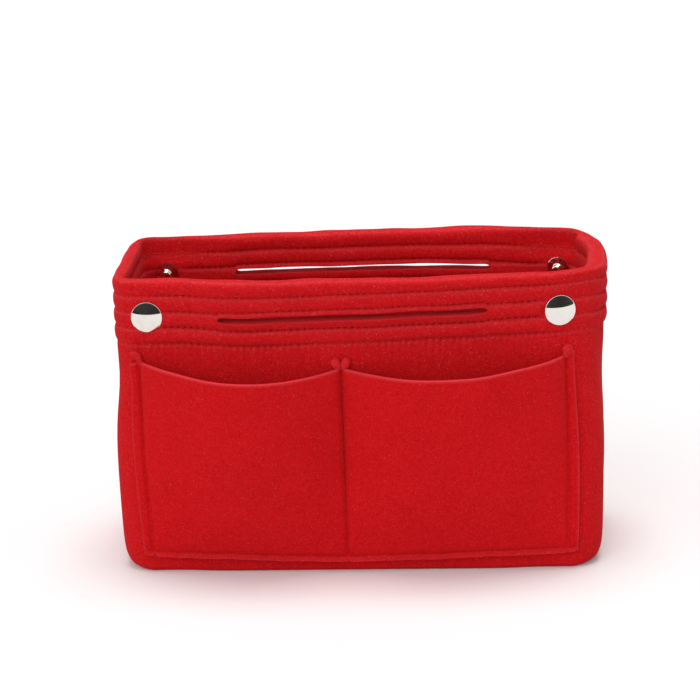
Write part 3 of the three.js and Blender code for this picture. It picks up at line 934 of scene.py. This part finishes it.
def pocket_pleats(form):
    """The felt standing up where a mouth meets a seam: a pad or loop at the side, a lobe in the middle."""
    ear = form.size.ear
    seam = form.size.pocket_seam
    top = form.mouth(np.array(seam))
    lobe = pad(
        form.place,
        centre=(form.width - 1.85 * MM, form.mouth(np.array(form.width)) + 0.36 * ear),
        half_width=2.0 * MM,
        half_height=3.0 * MM,
        tilt=0.5,
        depth=3.8 * MM,
    )
    if form.looped:
        loop_path = [
            (seam + 0.8 * MM, top - 1.6 * MM),
            (seam + 0.3 * MM, top + 0.25 * ear),
            (seam - 0.3 * MM, top + 0.6 * ear),
            (seam - 2.0 * MM, top + 0.78 * ear),
            (seam - 4.2 * MM, top + 0.72 * ear),
        ]
        return [pleat(form.place, loop_path, depth=3.6 * MM, thick=2.4 * MM), lobe]
    side_pad = pad(
        form.place,
        centre=(seam - 0.9 * MM, top + 0.24 * ear),
        half_width=2.5 * MM,
        half_height=3.3 * MM,
        tilt=0.45,
        depth=3.4 * MM,
    )
    return [side_pad, lobe]


def pocket_piece(name, side, face, size, material):
    """One pocket as a closed sheet of felt with a cut edge all round, and the pleats at its mouth."""
    form = PocketForm(side, face, size)
    across, height, outer, inner = form.surfaces()
    columns, levels = across.shape
    skin = form.place(across, outer, height)
    lining = form.place(across, inner, height)
    loop = (
        [(c, 0) for c in range(columns)]
        + [(columns - 1, l) for l in range(1, levels)]
        + [(c, levels - 1) for c in range(columns - 2, -1, -1)]
        + [(0, l) for l in range(levels - 2, 0, -1)]
    )
    edge = tuple(np.array(loop).T)
    away = np.zeros((columns, levels, 3))
    away[:, -1, 2] += 1
    away[:, 0, 2] -= 1
    away[0, :, 0] += form.side
    swell = 0.3 * MM
    rings = [
        skin[edge] + (lining[edge] - skin[edge]) * share + away[edge] * swell * math.sin(math.pi * share)
        for share in EDGE_SHARES
    ]
    skin_ids = numbered(columns, levels)
    lining_ids = numbered(columns, levels, skin_ids.size)
    ring_ids = numbered(len(rings), len(loop), 2 * skin_ids.size)
    band = np.stack([skin_ids[edge], *ring_ids, lining_ids[edge]], 1)
    band = np.vstack([band, band[:1]])
    faces = quads(skin_ids) + [f[::-1] for f in quads(lining_ids) + quads(band)]
    cut_skin = np.zeros((columns, levels))
    cut_skin[:, :6] = 0.3
    cut_skin[:, -2] = 0.4
    cut_skin[1, :] = 0.2
    cut_skin[:, 0] = cut_skin[0, :] = 0.6
    cut_skin[:, -1] = 0.9
    cut = [cut_skin.ravel(), cut_skin.ravel(), np.ones(ring_ids.size)]
    points = [skin.reshape(-1, 3), lining.reshape(-1, 3), *rings]
    faces = facing_out(np.vstack(points), faces)
    for pleat_points, pleat_faces in pocket_pleats(form):
        start = sum(len(p) for p in points)
        faces += [tuple(start + v for v in f) for f in facing_out(pleat_points, pleat_faces)]
        points.append(pleat_points)
        cut.append(np.full(len(pleat_points), 0.32))
    cut = np.concatenate(cut)
    marks = {"cut": cut, "fuzz_and_highlight": np.minimum(0.02 + 1.5 * cut, 1)}
    return make_object(name, np.vstack(points), faces, material, marks)


def pocket_paths(side, face, size):
    """The stitch lines of one pocket: its side, its bottom and the middle seam."""
    form = PocketForm(side, face, size)
    seam = size.pocket_seam
    step = size.stitch_pitch / 4
    sunk = 0.1 * MM

    def line(across, height):
        across, height = np.broadcast_arrays(across, height)
        bulge, thick = form.stand_out(across, height)
        places = form.place(across, bulge + thick + POCKET_GAP - sunk, height)
        outward = np.tile([0.0, form.face, 0.0], (len(places), 1))
        return places, outward

    def upright(across):
        low = float(form.foot(np.array(across))) + size.pocket_foot
        high = float(form.mouth(np.array(across))) - 1.5 * MM
        return line(across, np.arange(low, high, step))

    spots = np.arange(seam, form.width, step)
    paths = [upright(seam), line(spots, form.foot(spots) + size.pocket_foot)]
    if side == "left":
        paths.append(upright(form.width - 0.01 * MM))
    return paths


# Base


def rounded_box(half_x, half_y, radius, steps, between):
    """Points round a rounded rectangle, anticlockwise from the right, with some between its corners."""
    arcs = []
    for centre_x, centre_y, start in ((1, 1, 0), (-1, 1, 1), (-1, -1, 2), (1, -1, 3)):
        angles = np.linspace(0, math.pi / 2, steps) + start * math.pi / 2
        x = centre_x * (half_x - radius) + radius * np.cos(angles)
        y = centre_y * (half_y - radius) + radius * np.sin(angles)
        arcs.append(np.stack([x, y], 1))
    points = []
    shares = np.linspace(0, 1, between + 2)[1:-1, None]
    for here, there in zip(arcs, arcs[1:] + arcs[:1]):
        points += [here, here[-1:] + (there[:1] - here[-1:]) * shares]
    return np.vstack(points)


def base_rings(size):
    """Inset, lower and upper height of each ring of the base, from its edge to its middle."""
    edge = size.foot_roll + size.foot_lap - 0.3 * MM
    return [
        (edge, 0.4 * MM, FELT - 0.5 * MM),
        (edge + 0.5 * MM, 0.1 * MM, FELT - 0.1 * MM),
        (edge + 4.5 * MM, 0.0, FELT),
        (edge + 5.5 * MM, 0.35 * MM, FELT - 0.5 * MM),
        (edge + 6.5 * MM, 0.0, FELT),
        (edge + 10 * MM, 0.1 * MM, FELT + 0.15 * MM),
        (edge + 16 * MM, 0.1 * MM, FELT + 0.2 * MM),
        (HALF_DEPTH - 1 * MM, 0.1 * MM, FELT + 0.2 * MM),
    ]


def base_piece(size, material):
    """The felt bottom: a flat sheet with a sewn groove round it."""
    under, over, cut = [], [], []
    for inset, low, high in base_rings(size):
        radius = max(size.corner - inset, 1.5 * MM) if inset < HALF_DEPTH - 2 * MM else 0.4 * MM
        x, y = rounded_box(HALF_LENGTH - inset, HALF_DEPTH - inset, radius, 10, 30).T
        under.append(settle(x, y, np.full(len(x), low), size))
        over.append(settle(x, y, np.full(len(x), high), size))
        cut.append(np.full(len(x), 1.0 if len(cut) == 0 else 0.0))
    rings = under[::-1] + over
    cut = np.concatenate(cut[::-1] + cut)
    marks = {"cut": cut, "fuzz_and_highlight": 0.2 + 0.6 * cut}
    return make_object("base_felt", np.vstack(rings), tube(len(rings), len(rings[0])), material, marks)


def base_paths(size):
    """The seam round the base, seen from above and from below."""
    inset, low, high = base_rings(size)[3]
    ring = rounded_box(HALF_LENGTH - inset, HALF_DEPTH - inset, 2 * MM, 6, 0)
    ring = np.vstack([ring, ring[:1]])
    reach = np.concatenate([[0], np.cumsum(np.linalg.norm(np.diff(ring, axis=0), axis=1))])
    along = np.arange(0, reach[-1], size.stitch_pitch / 2)
    x = np.interp(along, reach, ring[:, 0])
    y = np.interp(along, reach, ring[:, 1])
    paths = []
    for height, way in ((high, 1), (low, -1)):
        places = settle(x, y, np.full(len(x), height), size)
        paths.append((places, np.tile([0.0, 0.0, float(way)], (len(x), 1))))
    return paths


# Press studs


def eased(profile, radius):
    """Rounds the corners of a line of (radius, height) points."""
    points = [np.array(p, float) for p in profile]
    out = [points[0]]
    for before, corner, after in zip(points, points[1:], points[2:]):
        reach = [min(radius, 0.45 * np.linalg.norm(q - corner)) for q in (before, after)]
        start = corner + (before - corner) / np.linalg.norm(before - corner) * reach[0]
        end = corner + (after - corner) / np.linalg.norm(after - corner) * reach[1]
        for t in np.linspace(0, 1, EASE_STEPS):
            out.append((1 - t) ** 2 * start + 2 * t * (1 - t) * corner + t * t * end)
    return out + [points[-1]]


def stud_seat(sign, y, size):
    """Where a stud piece sits on the felt, and the angle by which the felt is turned there."""
    step = 3 * MM
    x = sign * STUD_X + np.array([-step, 0, step])
    spots = settle(x, np.full(3, y), np.full(3, STUD_Z), size)
    along = spots[2] - spots[0]
    return spots[1], math.atan2(along[1], along[0])


def seated(points, seat, turn):
    """Turns points round an upright line and moves them to their seat."""
    points = np.asarray(points, float)
    x = points[:, 0] * math.cos(turn) - points[:, 1] * math.sin(turn)
    y = points[:, 0] * math.sin(turn) + points[:, 1] * math.cos(turn)
    return np.column_stack([x, y, points[:, 2]]) + seat


def turned(name, profile, seat, turn, way, material):
    """A piece turned about a line through its seat: profile is (radius, distance towards way)."""
    angles = np.linspace(0, 2 * math.pi, TURN_STEPS, endpoint=False)
    points, lines = [], []
    for radius, out in profile:
        if radius < TINY:
            lines.append([len(points)] * TURN_STEPS)
            points.append((0, way * out, 0))
            continue
        lines.append(list(range(len(points), len(points) + TURN_STEPS)))
        points += [(radius * math.cos(a), way * out, radius * math.sin(a)) for a in angles]
    closed = profile[0][0] > TINY
    pairs = list(zip(lines, lines[1:])) + ([(lines[-1], lines[0])] if closed else [])
    faces = []
    for low, high in pairs:
        for k in range(TURN_STEPS):
            n = (k + 1) % TURN_STEPS
            corners = [low[k], low[n], high[n], high[k]]
            faces.append(tuple(dict.fromkeys(corners)))
    faces = [f for f in faces if len(f) > 2]
    return make_object(name, seated(points, seat, turn), faces, material, sharp=35)


def split_ring(name, seat, turn, way, material):
    """The socket's spring: a ring of wire with a gap at one side."""
    ring, wire, height, half_gap = 3.15 * MM, 0.35 * MM, 1.65 * MM, 0.3
    points = []
    stations = np.linspace(half_gap, 2 * math.pi - half_gap, 40)
    sections = np.linspace(0, 2 * math.pi, 10, endpoint=False)
    for a in stations:
        for b in sections:
            radius = ring + wire * math.cos(b)
            points.append((radius * math.cos(a), way * (height + wire * math.sin(b)), radius * math.sin(a)))
    faces = tube(len(stations), len(sections))
    return make_object(name, seated(points, seat, turn), faces, material, sharp=50)


def arc(centre, radius, first, last, steps):
    """Points on an arc, angles in degrees."""
    angles = np.radians(np.linspace(first, last, steps))
    return [(centre[0] + radius * math.cos(a), centre[1] + radius * math.sin(a)) for a in angles]


def cap_profile():
    """The outer half of a stud: a polished dome that runs to a fine rolled edge, on its rivet."""
    radius = (CAP_HIGH.x - CAP_LOW.x) / 2
    height = -CAP_LOW.y - HALF_DEPTH - SEAT_GAP
    rivet = -(CAP_HIGH.y - CAP_LOW.y - height)
    roll = 0.34 * MM
    edge = radius - 0.75 * roll
    edge_height = 1.62 * roll
    drop = height - edge_height
    ball = (edge**2 + drop**2) / (2 * drop)
    reach = math.degrees(math.asin(edge / ball))
    dome = arc((0, height - ball), ball, 90 - reach, 90, 22)
    rolled = arc((radius - roll, roll), roll, -90, 45, 8)
    back = [(0, rivet), (1.5 * MM, rivet), (1.5 * MM, 0)]
    return back + rolled + dome[:-1] + [(0, height)]


def in_mm(*points):
    """Points given in millimetres, in metres."""
    return [(radius * MM, height * MM) for radius, height in points]


def stud_profiles():
    """The sunk parts of a set: socket, stud and the ring of its rivet, each turned about its axis."""
    washer = in_mm((1.8, 0), (5.8, 0), (5.8, 0.8), (4.3, 1.3), (4.3, 2.75), (3.8, 3.0))
    bore = in_mm((2.8, 3.0), (2.8, 2.5), (3.8, 2.5), (3.8, 0.8), (1.8, 0.8))
    flange = in_mm((0, 1.6), (1.5, 1.6), (1.8, 0.9), (1.8, 0), (5.5, 0), (5.5, 0.45))
    knob = in_mm((2.6, 0.9), (1.95, 1.6), (2.05, 2.65), (2.4, 3.5), (1.7, 4.25), (0, 4.4))
    rivet = in_mm((0, -7.5), (1.5, -7.5), (1.5, 0))
    ring = in_mm((4.95, 0), (5.5, 0.55), (4.95, 1.1), (1.85, 1.1), (1.3, 0.55), (0, 0.55))
    return eased(washer + bore, 0.2 * MM), eased(flange + knob, 0.45 * MM), eased(rivet + ring, 0.35 * MM)


# Materials


class Value:
    """A socket that carries a number: adding and multiplying it adds Math nodes."""

    def __init__(self, finish, socket):
        self.finish, self.socket = finish, socket

    def _math(self, operation, other):
        made = self.finish.node("ShaderNodeMath", {0: self, 1: other}, operation=operation)
        return Value(self.finish, made.outputs[0])

    def __add__(self, other):
        return self._math("ADD", other)

    def __mul__(self, other):
        return self._math("MULTIPLY", other)

    __radd__ = __add__
    __rmul__ = __mul__


class Finish:
    """One material and the nodes that make it."""

    def __init__(self, name):
        self.material = bpy.data.materials.new(name)
        self.material.use_nodes = True
        self.tree = self.material.node_tree
        self.tree.nodes.clear()
        self.place = self.node("ShaderNodeTexCoord").outputs["Object"]

    def node(self, kind, inputs=None, **settings):
        """Adds a node to this material."""
        return add_node(self.tree, kind, inputs, **settings)

    def noise(self, scale, detail=2.0, roughness=0.5, distortion=0.0):
        """Cloudy noise over the piece."""
        inputs = {
            "Vector": self.place,
            "Scale": scale,
            "Detail": detail,
            "Roughness": roughness,
            "Distortion": distortion,
        }
        return Value(self, self.node("ShaderNodeTexNoise", inputs).outputs["Fac"])

    def between(self, value, low, high):
        """0 where value is under low, 1 over high."""
        inputs = {"Value": value, "From Min": low, "From Max": high}
        made = self.node("ShaderNodeMapRange", inputs, clamp=True, interpolation_type="SMOOTHSTEP")
        return Value(self, made.outputs["Result"])

    def mix(self, share, first, second):
        """A colour between two, as a socket."""
        inputs = {"Factor": share, 6: tuple_or_socket(first), 7: tuple_or_socket(second)}
        return self.node("ShaderNodeMix", inputs, data_type="RGBA").outputs[2]

    def attribute(self, name):
        """A mark that the piece's points carry."""
        return Value(self, self.node("ShaderNodeAttribute", attribute_name=name).outputs["Fac"])

    def bump(self, height, strength, distance):
        """A surface direction for fine relief."""
        inputs = {"Height": height, "Strength": strength, "Distance": distance}
        return self.node("ShaderNodeBump", inputs).outputs["Normal"]

    def surface(self, inputs):
        """Ends the material with its shader."""
        shader = self.node("ShaderNodeBsdfPrincipled", inputs)
        self.node("ShaderNodeOutputMaterial", {"Surface": shader.outputs["BSDF"]})
        return self.material


def tuple_or_socket(shade):
    """A colour as plain numbers, or the socket that carries one."""
    return shade if isinstance(shade, bpy.types.NodeSocket) else tuple(shade)


def finish_of(name, make, colours):
    """The material of this name, made the first time that it is asked for."""
    return bpy.data.materials.get(name) or make(Finish(name), colours)


def felt_finish(finish, colours):
    """Pressed wool felt: matted fibres, pale loose ones where it is fuzzy, teased ones at cut edges, a
    painted highlight under the hem's rows and painted shade where its fibre relief is low.
    """
    matted = finish.noise(620, detail=5, roughness=0.68, distortion=1.2)
    grain = finish.noise(1500, detail=3, roughness=0.6, distortion=0.5)
    cloud = finish.noise(45, detail=3, roughness=0.55)
    strand = finish.noise(700, detail=2, roughness=0.55, distortion=3.2)
    cut = finish.attribute("cut")
    fuzz_and_highlight = finish.attribute("fuzz_and_highlight")
    # Painted shade in part: darker red where the fibre relief's noise is low, with slow random clouds of
    # tone on top
    depth = finish.between(matted * 0.6 + grain * 0.4 + cloud * 0.16, 0.36, 0.74)
    base = finish.mix(depth, colours.felt_deep_shade, colours.felt)
    # Painted shade: the deepest pits of the fibre relief are darkened, more where the fuzz mark is high
    pits = finish.between(grain * 0.5 + matted * 0.5, 0.48, 0.34)
    pit_shade = [0.6 * c for c in colours.felt_deep_shade[:3]] + [1]
    pitted = finish.mix(pits * (0.1 + 0.3 * fuzz_and_highlight), base, pit_shade)
    loose = finish.between(strand, 0.56, 0.68) * finish.between(grain, 0.44, 0.58)
    # Pale fibres: real loose fibres at cut edges and on the felt, and a painted highlight under the hem's
    # rows where the mark is high
    raised_fuzz_and_highlight = fuzz_and_highlight * fuzz_and_highlight * fuzz_and_highlight
    pale = loose * (0.3 + 0.6 * fuzz_and_highlight) + raised_fuzz_and_highlight * (0.05 + 0.34 * matted)
    fuzzed_and_highlit = finish.mix(pale, pitted, colours.fibre_and_highlight)
    teased = finish.between(finish.noise(900, detail=4, roughness=0.7, distortion=2.0), 0.3, 0.7)
    edged = finish.mix(cut * (0.35 + 0.6 * teased), fuzzed_and_highlit, colours.cut_edge)
    height = matted * 0.7 + grain * 0.3 + strand * 0.4
    return finish.surface(
        {
            "Base Color": edged,
            "Roughness": 0.88 + 0.1 * matted,
            "Specular IOR Level": 0.06,
            "Sheen Weight": 0.07,
            "Sheen Roughness": 0.45,
            "Sheen Tint": (1.0, 0.4, 0.42, 1.0),
            "Normal": finish.bump(height * (0.6 + 0.7 * fuzz_and_highlight), 0.7, 0.75 * MM),
        }
    )


def thread_finish(finish, colours):
    """Twisted sewing thread in the felt's red, with a painted highlight on its raised plies."""
    twist = finish.node(
        "ShaderNodeTexWave",
        {"Vector": finish.place, "Scale": 420.0, "Distortion": 1.5, "Detail": 1.0},
        wave_type="BANDS",
        bands_direction="DIAGONAL",
    )
    ply = Value(finish, twist.outputs["Fac"])
    lint = finish.noise(1600)
    return finish.surface(
        {
            # The twist's bands raise the bump, and the paler red on them is a painted highlight
            "Base Color": finish.mix(ply * 0.6 + lint * 0.3, colours.thread, colours.thread_highlight),
            "Roughness": 0.65 + 0.2 * lint,
            "Specular IOR Level": 0.1,
            "Normal": finish.bump(ply + 0.4 * lint, 0.4, 0.1 * MM),
        }
    )


def nickel_finish(finish, colours):
    """Bright plated nickel with a little handling wear."""
    haze = finish.between(finish.noise(260, detail=4, roughness=0.6), 0.45, 0.75)
    rub = finish.noise(1400, detail=3, roughness=0.6, distortion=1.0)
    return finish.surface(
        {
            "Base Color": finish.mix(haze * 0.35, colours.nickel, colours.nickel_dull),
            "Metallic": 1.0,
            "Roughness": 0.04 + 0.05 * haze + 0.02 * rub,
            "Normal": finish.bump(rub, 0.015, 0.05 * MM),
        }
    )


def steel_finish(finish, colours):
    """Drawn spring wire."""
    drawn = finish.noise(1800)
    return finish.surface(
        {
            "Base Color": finish.mix(drawn, colours.steel, (0.36, 0.355, 0.345, 1)),
            "Metallic": 1.0,
            "Roughness": 0.28 + 0.18 * drawn,
            "Normal": finish.bump(drawn, 0.1, 0.05 * MM),
        }
    )


def floor_finish(finish, colours):
    """Pale studio floor, which the camera sees a little brighter than it lights."""
    path = finish.node("ShaderNodeLightPath").outputs
    seen = Value(finish, path["Is Camera Ray"]) + Value(finish, path["Is Glossy Ray"])
    seen = finish.between(seen + Value(finish, path["Is Transmission Ray"]), 0, 1)
    paper = finish.noise(30, detail=3)
    pale = finish.mix(paper * 0.04, colours.floor, (0.88, 0.87, 0.875, 1))
    diffuse = finish.node("ShaderNodeBsdfDiffuse", {"Color": pale}).outputs[0]
    bounce = finish.node("ShaderNodeBsdfDiffuse", {"Color": (0.65, 0.645, 0.65, 1)}).outputs[0]
    glow = finish.node("ShaderNodeEmission", {"Color": (1, 0.985, 0.99, 1), "Strength": 0.05}).outputs[0]
    lifted = finish.node("ShaderNodeAddShader", {0: diffuse, 1: glow}).outputs[0]
    chosen = finish.node("ShaderNodeMixShader", {0: seen, 1: bounce, 2: lifted}).outputs[0]
    finish.node("ShaderNodeOutputMaterial", {"Surface": chosen})
    return finish.material


def card_finish(finish, _):
    """Nearly black card."""
    shade = finish.mix(finish.noise(1.5), (0.010, 0.009, 0.008, 1), (0.040, 0.034, 0.030, 1))
    return finish.surface({"Base Color": shade, "Roughness": 0.9})


# Operators


class InsertOperator:
    """What the insert's operators share: its sizes and colours."""

    bl_options = {"REGISTER", "UNDO"}

    @staticmethod
    def settings(context):
        return context.scene.insert_sizes, context.scene.insert_colours


class BuildWalls(InsertOperator, bpy.types.Operator):
    """Build the felt strip that makes the four walls, in pieces that meet just before each corner"""

    bl_idname = "felt_insert.walls"
    bl_label = "Walls"

    def execute(self, context):
        size, colours = self.settings(context)
        felt = finish_of("Red felt", felt_finish, colours)
        step = size.stitch_pitch / 5
        for side, face, quarter in strip_quarters():
            columns = round(CORNER_JOIN / step)
            wall = strip_piece(f"wall_{face}_{side}", quarter, 0, CORNER_JOIN, columns, size, felt)
            bend_with_wall(wall, side, face)
            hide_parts(f"{face}_wall", f"{face}_{side}_corner_panel")
            last = quarter_run(size)
            columns = round((last - CORNER_JOIN) / step)
            end = strip_piece(f"end_{side}_{face}", quarter, CORNER_JOIN, last, columns, size, felt)
            bend_with_end(end, side, face)
            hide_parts(f"{side}_end_{face}_panel")
        return {"FINISHED"}


class BuildBase(InsertOperator, bpy.types.Operator):
    """Build the felt bottom and the seam round it"""

    bl_idname = "felt_insert.base"
    bl_label = "Base"

    def execute(self, context):
        size, colours = self.settings(context)
        base = base_piece(size, finish_of("Red felt", felt_finish, colours))
        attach(base, "root")
        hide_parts("base_panel")
        thread = finish_of("Sewing thread", thread_finish, colours)
        seam = sew("base_stitches", base_paths(size), size, thread, BASE_SEED)
        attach(seam, "root")
        return {"FINISHED"}


class BuildPockets(InsertOperator, bpy.types.Operator):
    """Build the four pockets, two on the front and two on the back, with their seams"""

    bl_idname = "felt_insert.pockets"
    bl_label = "Pockets"

    def execute(self, context):
        size, colours = self.settings(context)
        felt = finish_of("Red felt", felt_finish, colours)
        thread = finish_of("Sewing thread", thread_finish, colours)
        for seed, (side, face, _) in enumerate(strip_quarters(), POCKET_SEED):
            pocket = pocket_piece(f"pocket_{face}_{side}", side, face, size, felt)
            bend_with_wall(pocket, side, face)
            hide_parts(f"{face}_pocket_panel")
            form = PocketForm(side, face, size)
            flat = (POCKET_EASE * form.width, POCKET_HIGH.z - POCKET_LOW.z)
            paths = pocket_paths(side, face, size)
            seams = sew(f"pocket_stitches_{face}_{side}", paths, size, thread, seed)
            bend_with_wall(seams, side, face)
        return {"FINISHED"}


class SewHem(InsertOperator, bpy.types.Operator):
    """Sew the hem's rows, inside and outside, all round the rim"""

    bl_idname = "felt_insert.hem_stitches"
    bl_label = "Hem stitches"

    def execute(self, context):
        size, colours = self.settings(context)
        thread = finish_of("Sewing thread", thread_finish, colours)
        for seed, (side, face, quarter) in enumerate(strip_quarters()):
            paths = hem_paths(quarter, 0, CORNER_JOIN, size)
            rows = sew(f"hem_stitches_{face}_{side}", paths, size, thread, HEM_SEED + seed)
            bend_with_wall(rows, side, face)
            paths = hem_paths(quarter, CORNER_JOIN, quarter_run(size), size)
            rows = sew(f"end_stitches_{side}_{face}", paths, size, thread, END_SEED + seed)
            bend_with_end(rows, side, face)
        return {"FINISHED"}


class BuildStuds(InsertOperator, bpy.types.Operator):
    """Turn the press studs: cap, socket and spring on the front, stud and rivet on the back"""

    bl_idname = "felt_insert.studs"
    bl_label = "Press studs"

    def execute(self, context):
        size, colours = self.settings(context)
        nickel = finish_of("Bright nickel", nickel_finish, colours)
        steel = finish_of("Spring wire", steel_finish, colours)
        socket, stud, ring = stud_profiles()
        outside = HALF_DEPTH + SEAT_GAP
        inside = HALF_DEPTH - HEM - SEAT_GAP
        pieces = (
            ("cap", cap_profile(), -outside, -1, "front"),
            ("socket", socket, -inside, 1, "front"),
            ("stud", stud, inside, -1, "back"),
            ("post", ring, outside, 1, "back"),
        )
        for side, sign in SIDES.items():
            for kind, profile, y, way, face in pieces:
                seat, turn = stud_seat(sign, y, size)
                piece = turned(f"press_{kind}_{side}", profile, seat, turn, way, nickel)
                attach(piece, f"{face}_{side}_corner")
                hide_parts(f"snap_{kind}_{side}")
            seat, turn = stud_seat(sign, -inside, size)
            wire = split_ring(f"press_spring_{side}", seat, turn, 1, steel)
            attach(wire, f"front_{side}_corner")
            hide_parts(f"snap_spring_{side}")
        return {"FINISHED"}


class SetStage(InsertOperator, bpy.types.Operator):
    """Set the pale floor, the soft studio light and the camera"""

    bl_idname = "felt_insert.stage"
    bl_label = "Stage"

    # Half the width of the floor and of the dark card, in metres
    HALF_WIDTH = 12.0

    # Name of each light, where it shines from, its power and how wide it is in degrees
    SUNS = (
        ("key_light", (-0.4, -1.4, 0.85), 0.98, 60),
        ("top_light", (0.05, 0.14, 1.5), 1.65, 32),
        ("left_light", (-1.6, -0.35, 0.6), 0.3, 40),
        ("right_light", (1.6, -0.35, 0.6), 0.16, 40),
    )

    def execute(self, context):
        _, colours = self.settings(context)
        scene = context.scene
        scene.view_settings.view_transform = "Standard"
        pale = finish_of("Studio floor", floor_finish, colours)
        half = self.HALF_WIDTH
        floor = self.flat("studio_floor", (-half, 0), (half, 0), pale)
        self.dark_card(colours)
        self.world(scene)
        for sun in self.SUNS:
            self.sun(*sun)
        self.camera(scene)
        return {"FINISHED"}

    def flat(self, name, near, far, material):
        """A wide flat sheet between a near and a far edge, each given as (y, z)."""
        half = self.HALF_WIDTH
        corners = [(-half, *near), (half, *near), (half, *far), (-half, *far)]
        mesh = bpy.data.meshes.new(name)
        mesh.from_pydata(corners, [], [(0, 1, 2, 3)])
        mesh.materials.append(material)
        return add_object(name, mesh)

    def dark_card(self, colours):
        """A dark card behind the camera, which only the polished metal shows."""
        behind, high = -2.6, 3.2
        dark = finish_of("Dark card", card_finish, colours)
        card = self.flat("dark_card", (behind, 0.0), (behind, high), dark)
        card.visible_camera = False
        card.visible_diffuse = False
        card.visible_shadow = False
        card.visible_transmission = False

    def world(self, scene):
        """White light from all round, and a white background."""
        world = bpy.data.worlds.new("Studio")
        world.use_nodes = True
        tree = world.node_tree
        tree.nodes.clear()

        def node(kind, inputs=None, **settings):
            return add_node(tree, kind, inputs, **settings).outputs

        path = node("ShaderNodeLightPath")
        light = node("ShaderNodeBackground", {"Color": (0.96, 0.98, 1, 1), "Strength": 0.37})
        white = node("ShaderNodeBackground", {"Color": (1, 0.99, 0.99, 1), "Strength": 1.0})
        seen = node("ShaderNodeMath", {0: path["Is Camera Ray"], 1: path["Is Glossy Ray"]}, operation="ADD")
        seen = node(
            "ShaderNodeMath",
            {0: seen[0], 1: path["Is Transmission Ray"]},
            operation="ADD",
            use_clamp=True,
        )
        mixed = node("ShaderNodeMixShader", {0: seen[0], 1: light[0], 2: white[0]})
        node("ShaderNodeOutputWorld", {"Surface": mixed[0]})
        scene.world = world

    def sun(self, name, source, power, softness):
        """A wide even light from the direction of source, the same all over the floor."""
        light = bpy.data.lights.new(name, "SUN")
        light.energy = power
        light.color = (1.0, 0.985, 0.965)
        light.angle = math.radians(softness)
        made = add_object(name, light)
        made.location = source
        made.rotation_euler = (-Vector(source)).to_track_quat("-Z", "Y").to_euler()

    def camera(self, scene):
        """The photograph's viewing angle, for a square image."""
        azimuth, elevation, roll = math.radians(4.1), math.radians(16.5), math.radians(-2.0)
        distance, focal_pixels, image_pixels = 1.322, 2876.0, 700
        target = Vector((-4.6 * MM, 0, 92.5 * MM))
        back = Vector(
            (
                math.sin(azimuth) * math.cos(elevation),
                -math.cos(azimuth) * math.cos(elevation),
                math.sin(elevation),
            )
        )
        right = Vector((0, 0, 1)).cross(back).normalized()
        up = back.cross(right)
        turned_right = right * math.cos(roll) + up * math.sin(roll)
        turned_up = up * math.cos(roll) - right * math.sin(roll)
        axes = Matrix((turned_right, turned_up, back)).transposed()
        lens = bpy.data.cameras.new("photo_camera")
        lens.sensor_width = 36.0
        lens.lens = focal_pixels / image_pixels * lens.sensor_width
        lens.clip_start = 0.05
        camera = add_object("photo_camera", lens)
        camera.matrix_world = Matrix.Translation(target + back * distance) @ axes.to_4x4()
        scene.camera = camera


class InsertPanel(bpy.types.Panel):
    """Lists the insert's builders, sizes and colours"""

    bl_idname = "FELT_INSERT_PT_build"
    bl_label = "Felt insert"
    bl_space_type = "VIEW_3D"
    bl_region_type = "UI"
    bl_category = "Felt Insert"

    def draw(self, context):
        layout = self.layout
        for builder in BUILDERS:
            layout.operator(builder.bl_idname)
        for group in (context.scene.insert_sizes, context.scene.insert_colours):
            for name in group.__annotations__:
                layout.prop(group, name)


BUILDERS = (BuildWalls, BuildBase, BuildPockets, SewHem, BuildStuds, SetStage)
CLASSES = (InsertSizes, InsertColours, *BUILDERS, InsertPanel)


def register():
    """Registers the classes and puts the settings on the scene."""
    for cls in CLASSES:
        bpy.utils.register_class(cls)
    bpy.types.Scene.insert_sizes = bpy.props.PointerProperty(type=InsertSizes)
    bpy.types.Scene.insert_colours = bpy.props.PointerProperty(type=InsertColours)


def unregister():
    """Takes the settings and classes away again."""
    del bpy.types.Scene.insert_colours
    del bpy.types.Scene.insert_sizes
    for cls in reversed(CLASSES):
        bpy.utils.unregister_class(cls)


def main():
    """Builds every piece in order."""
    register()
    bpy.ops.felt_insert.walls()
    bpy.ops.felt_insert.base()
    bpy.ops.felt_insert.pockets()
    bpy.ops.felt_insert.hem_stitches()
    bpy.ops.felt_insert.studs()
    bpy.ops.felt_insert.stage()


if __name__ == "__main__":
    main()
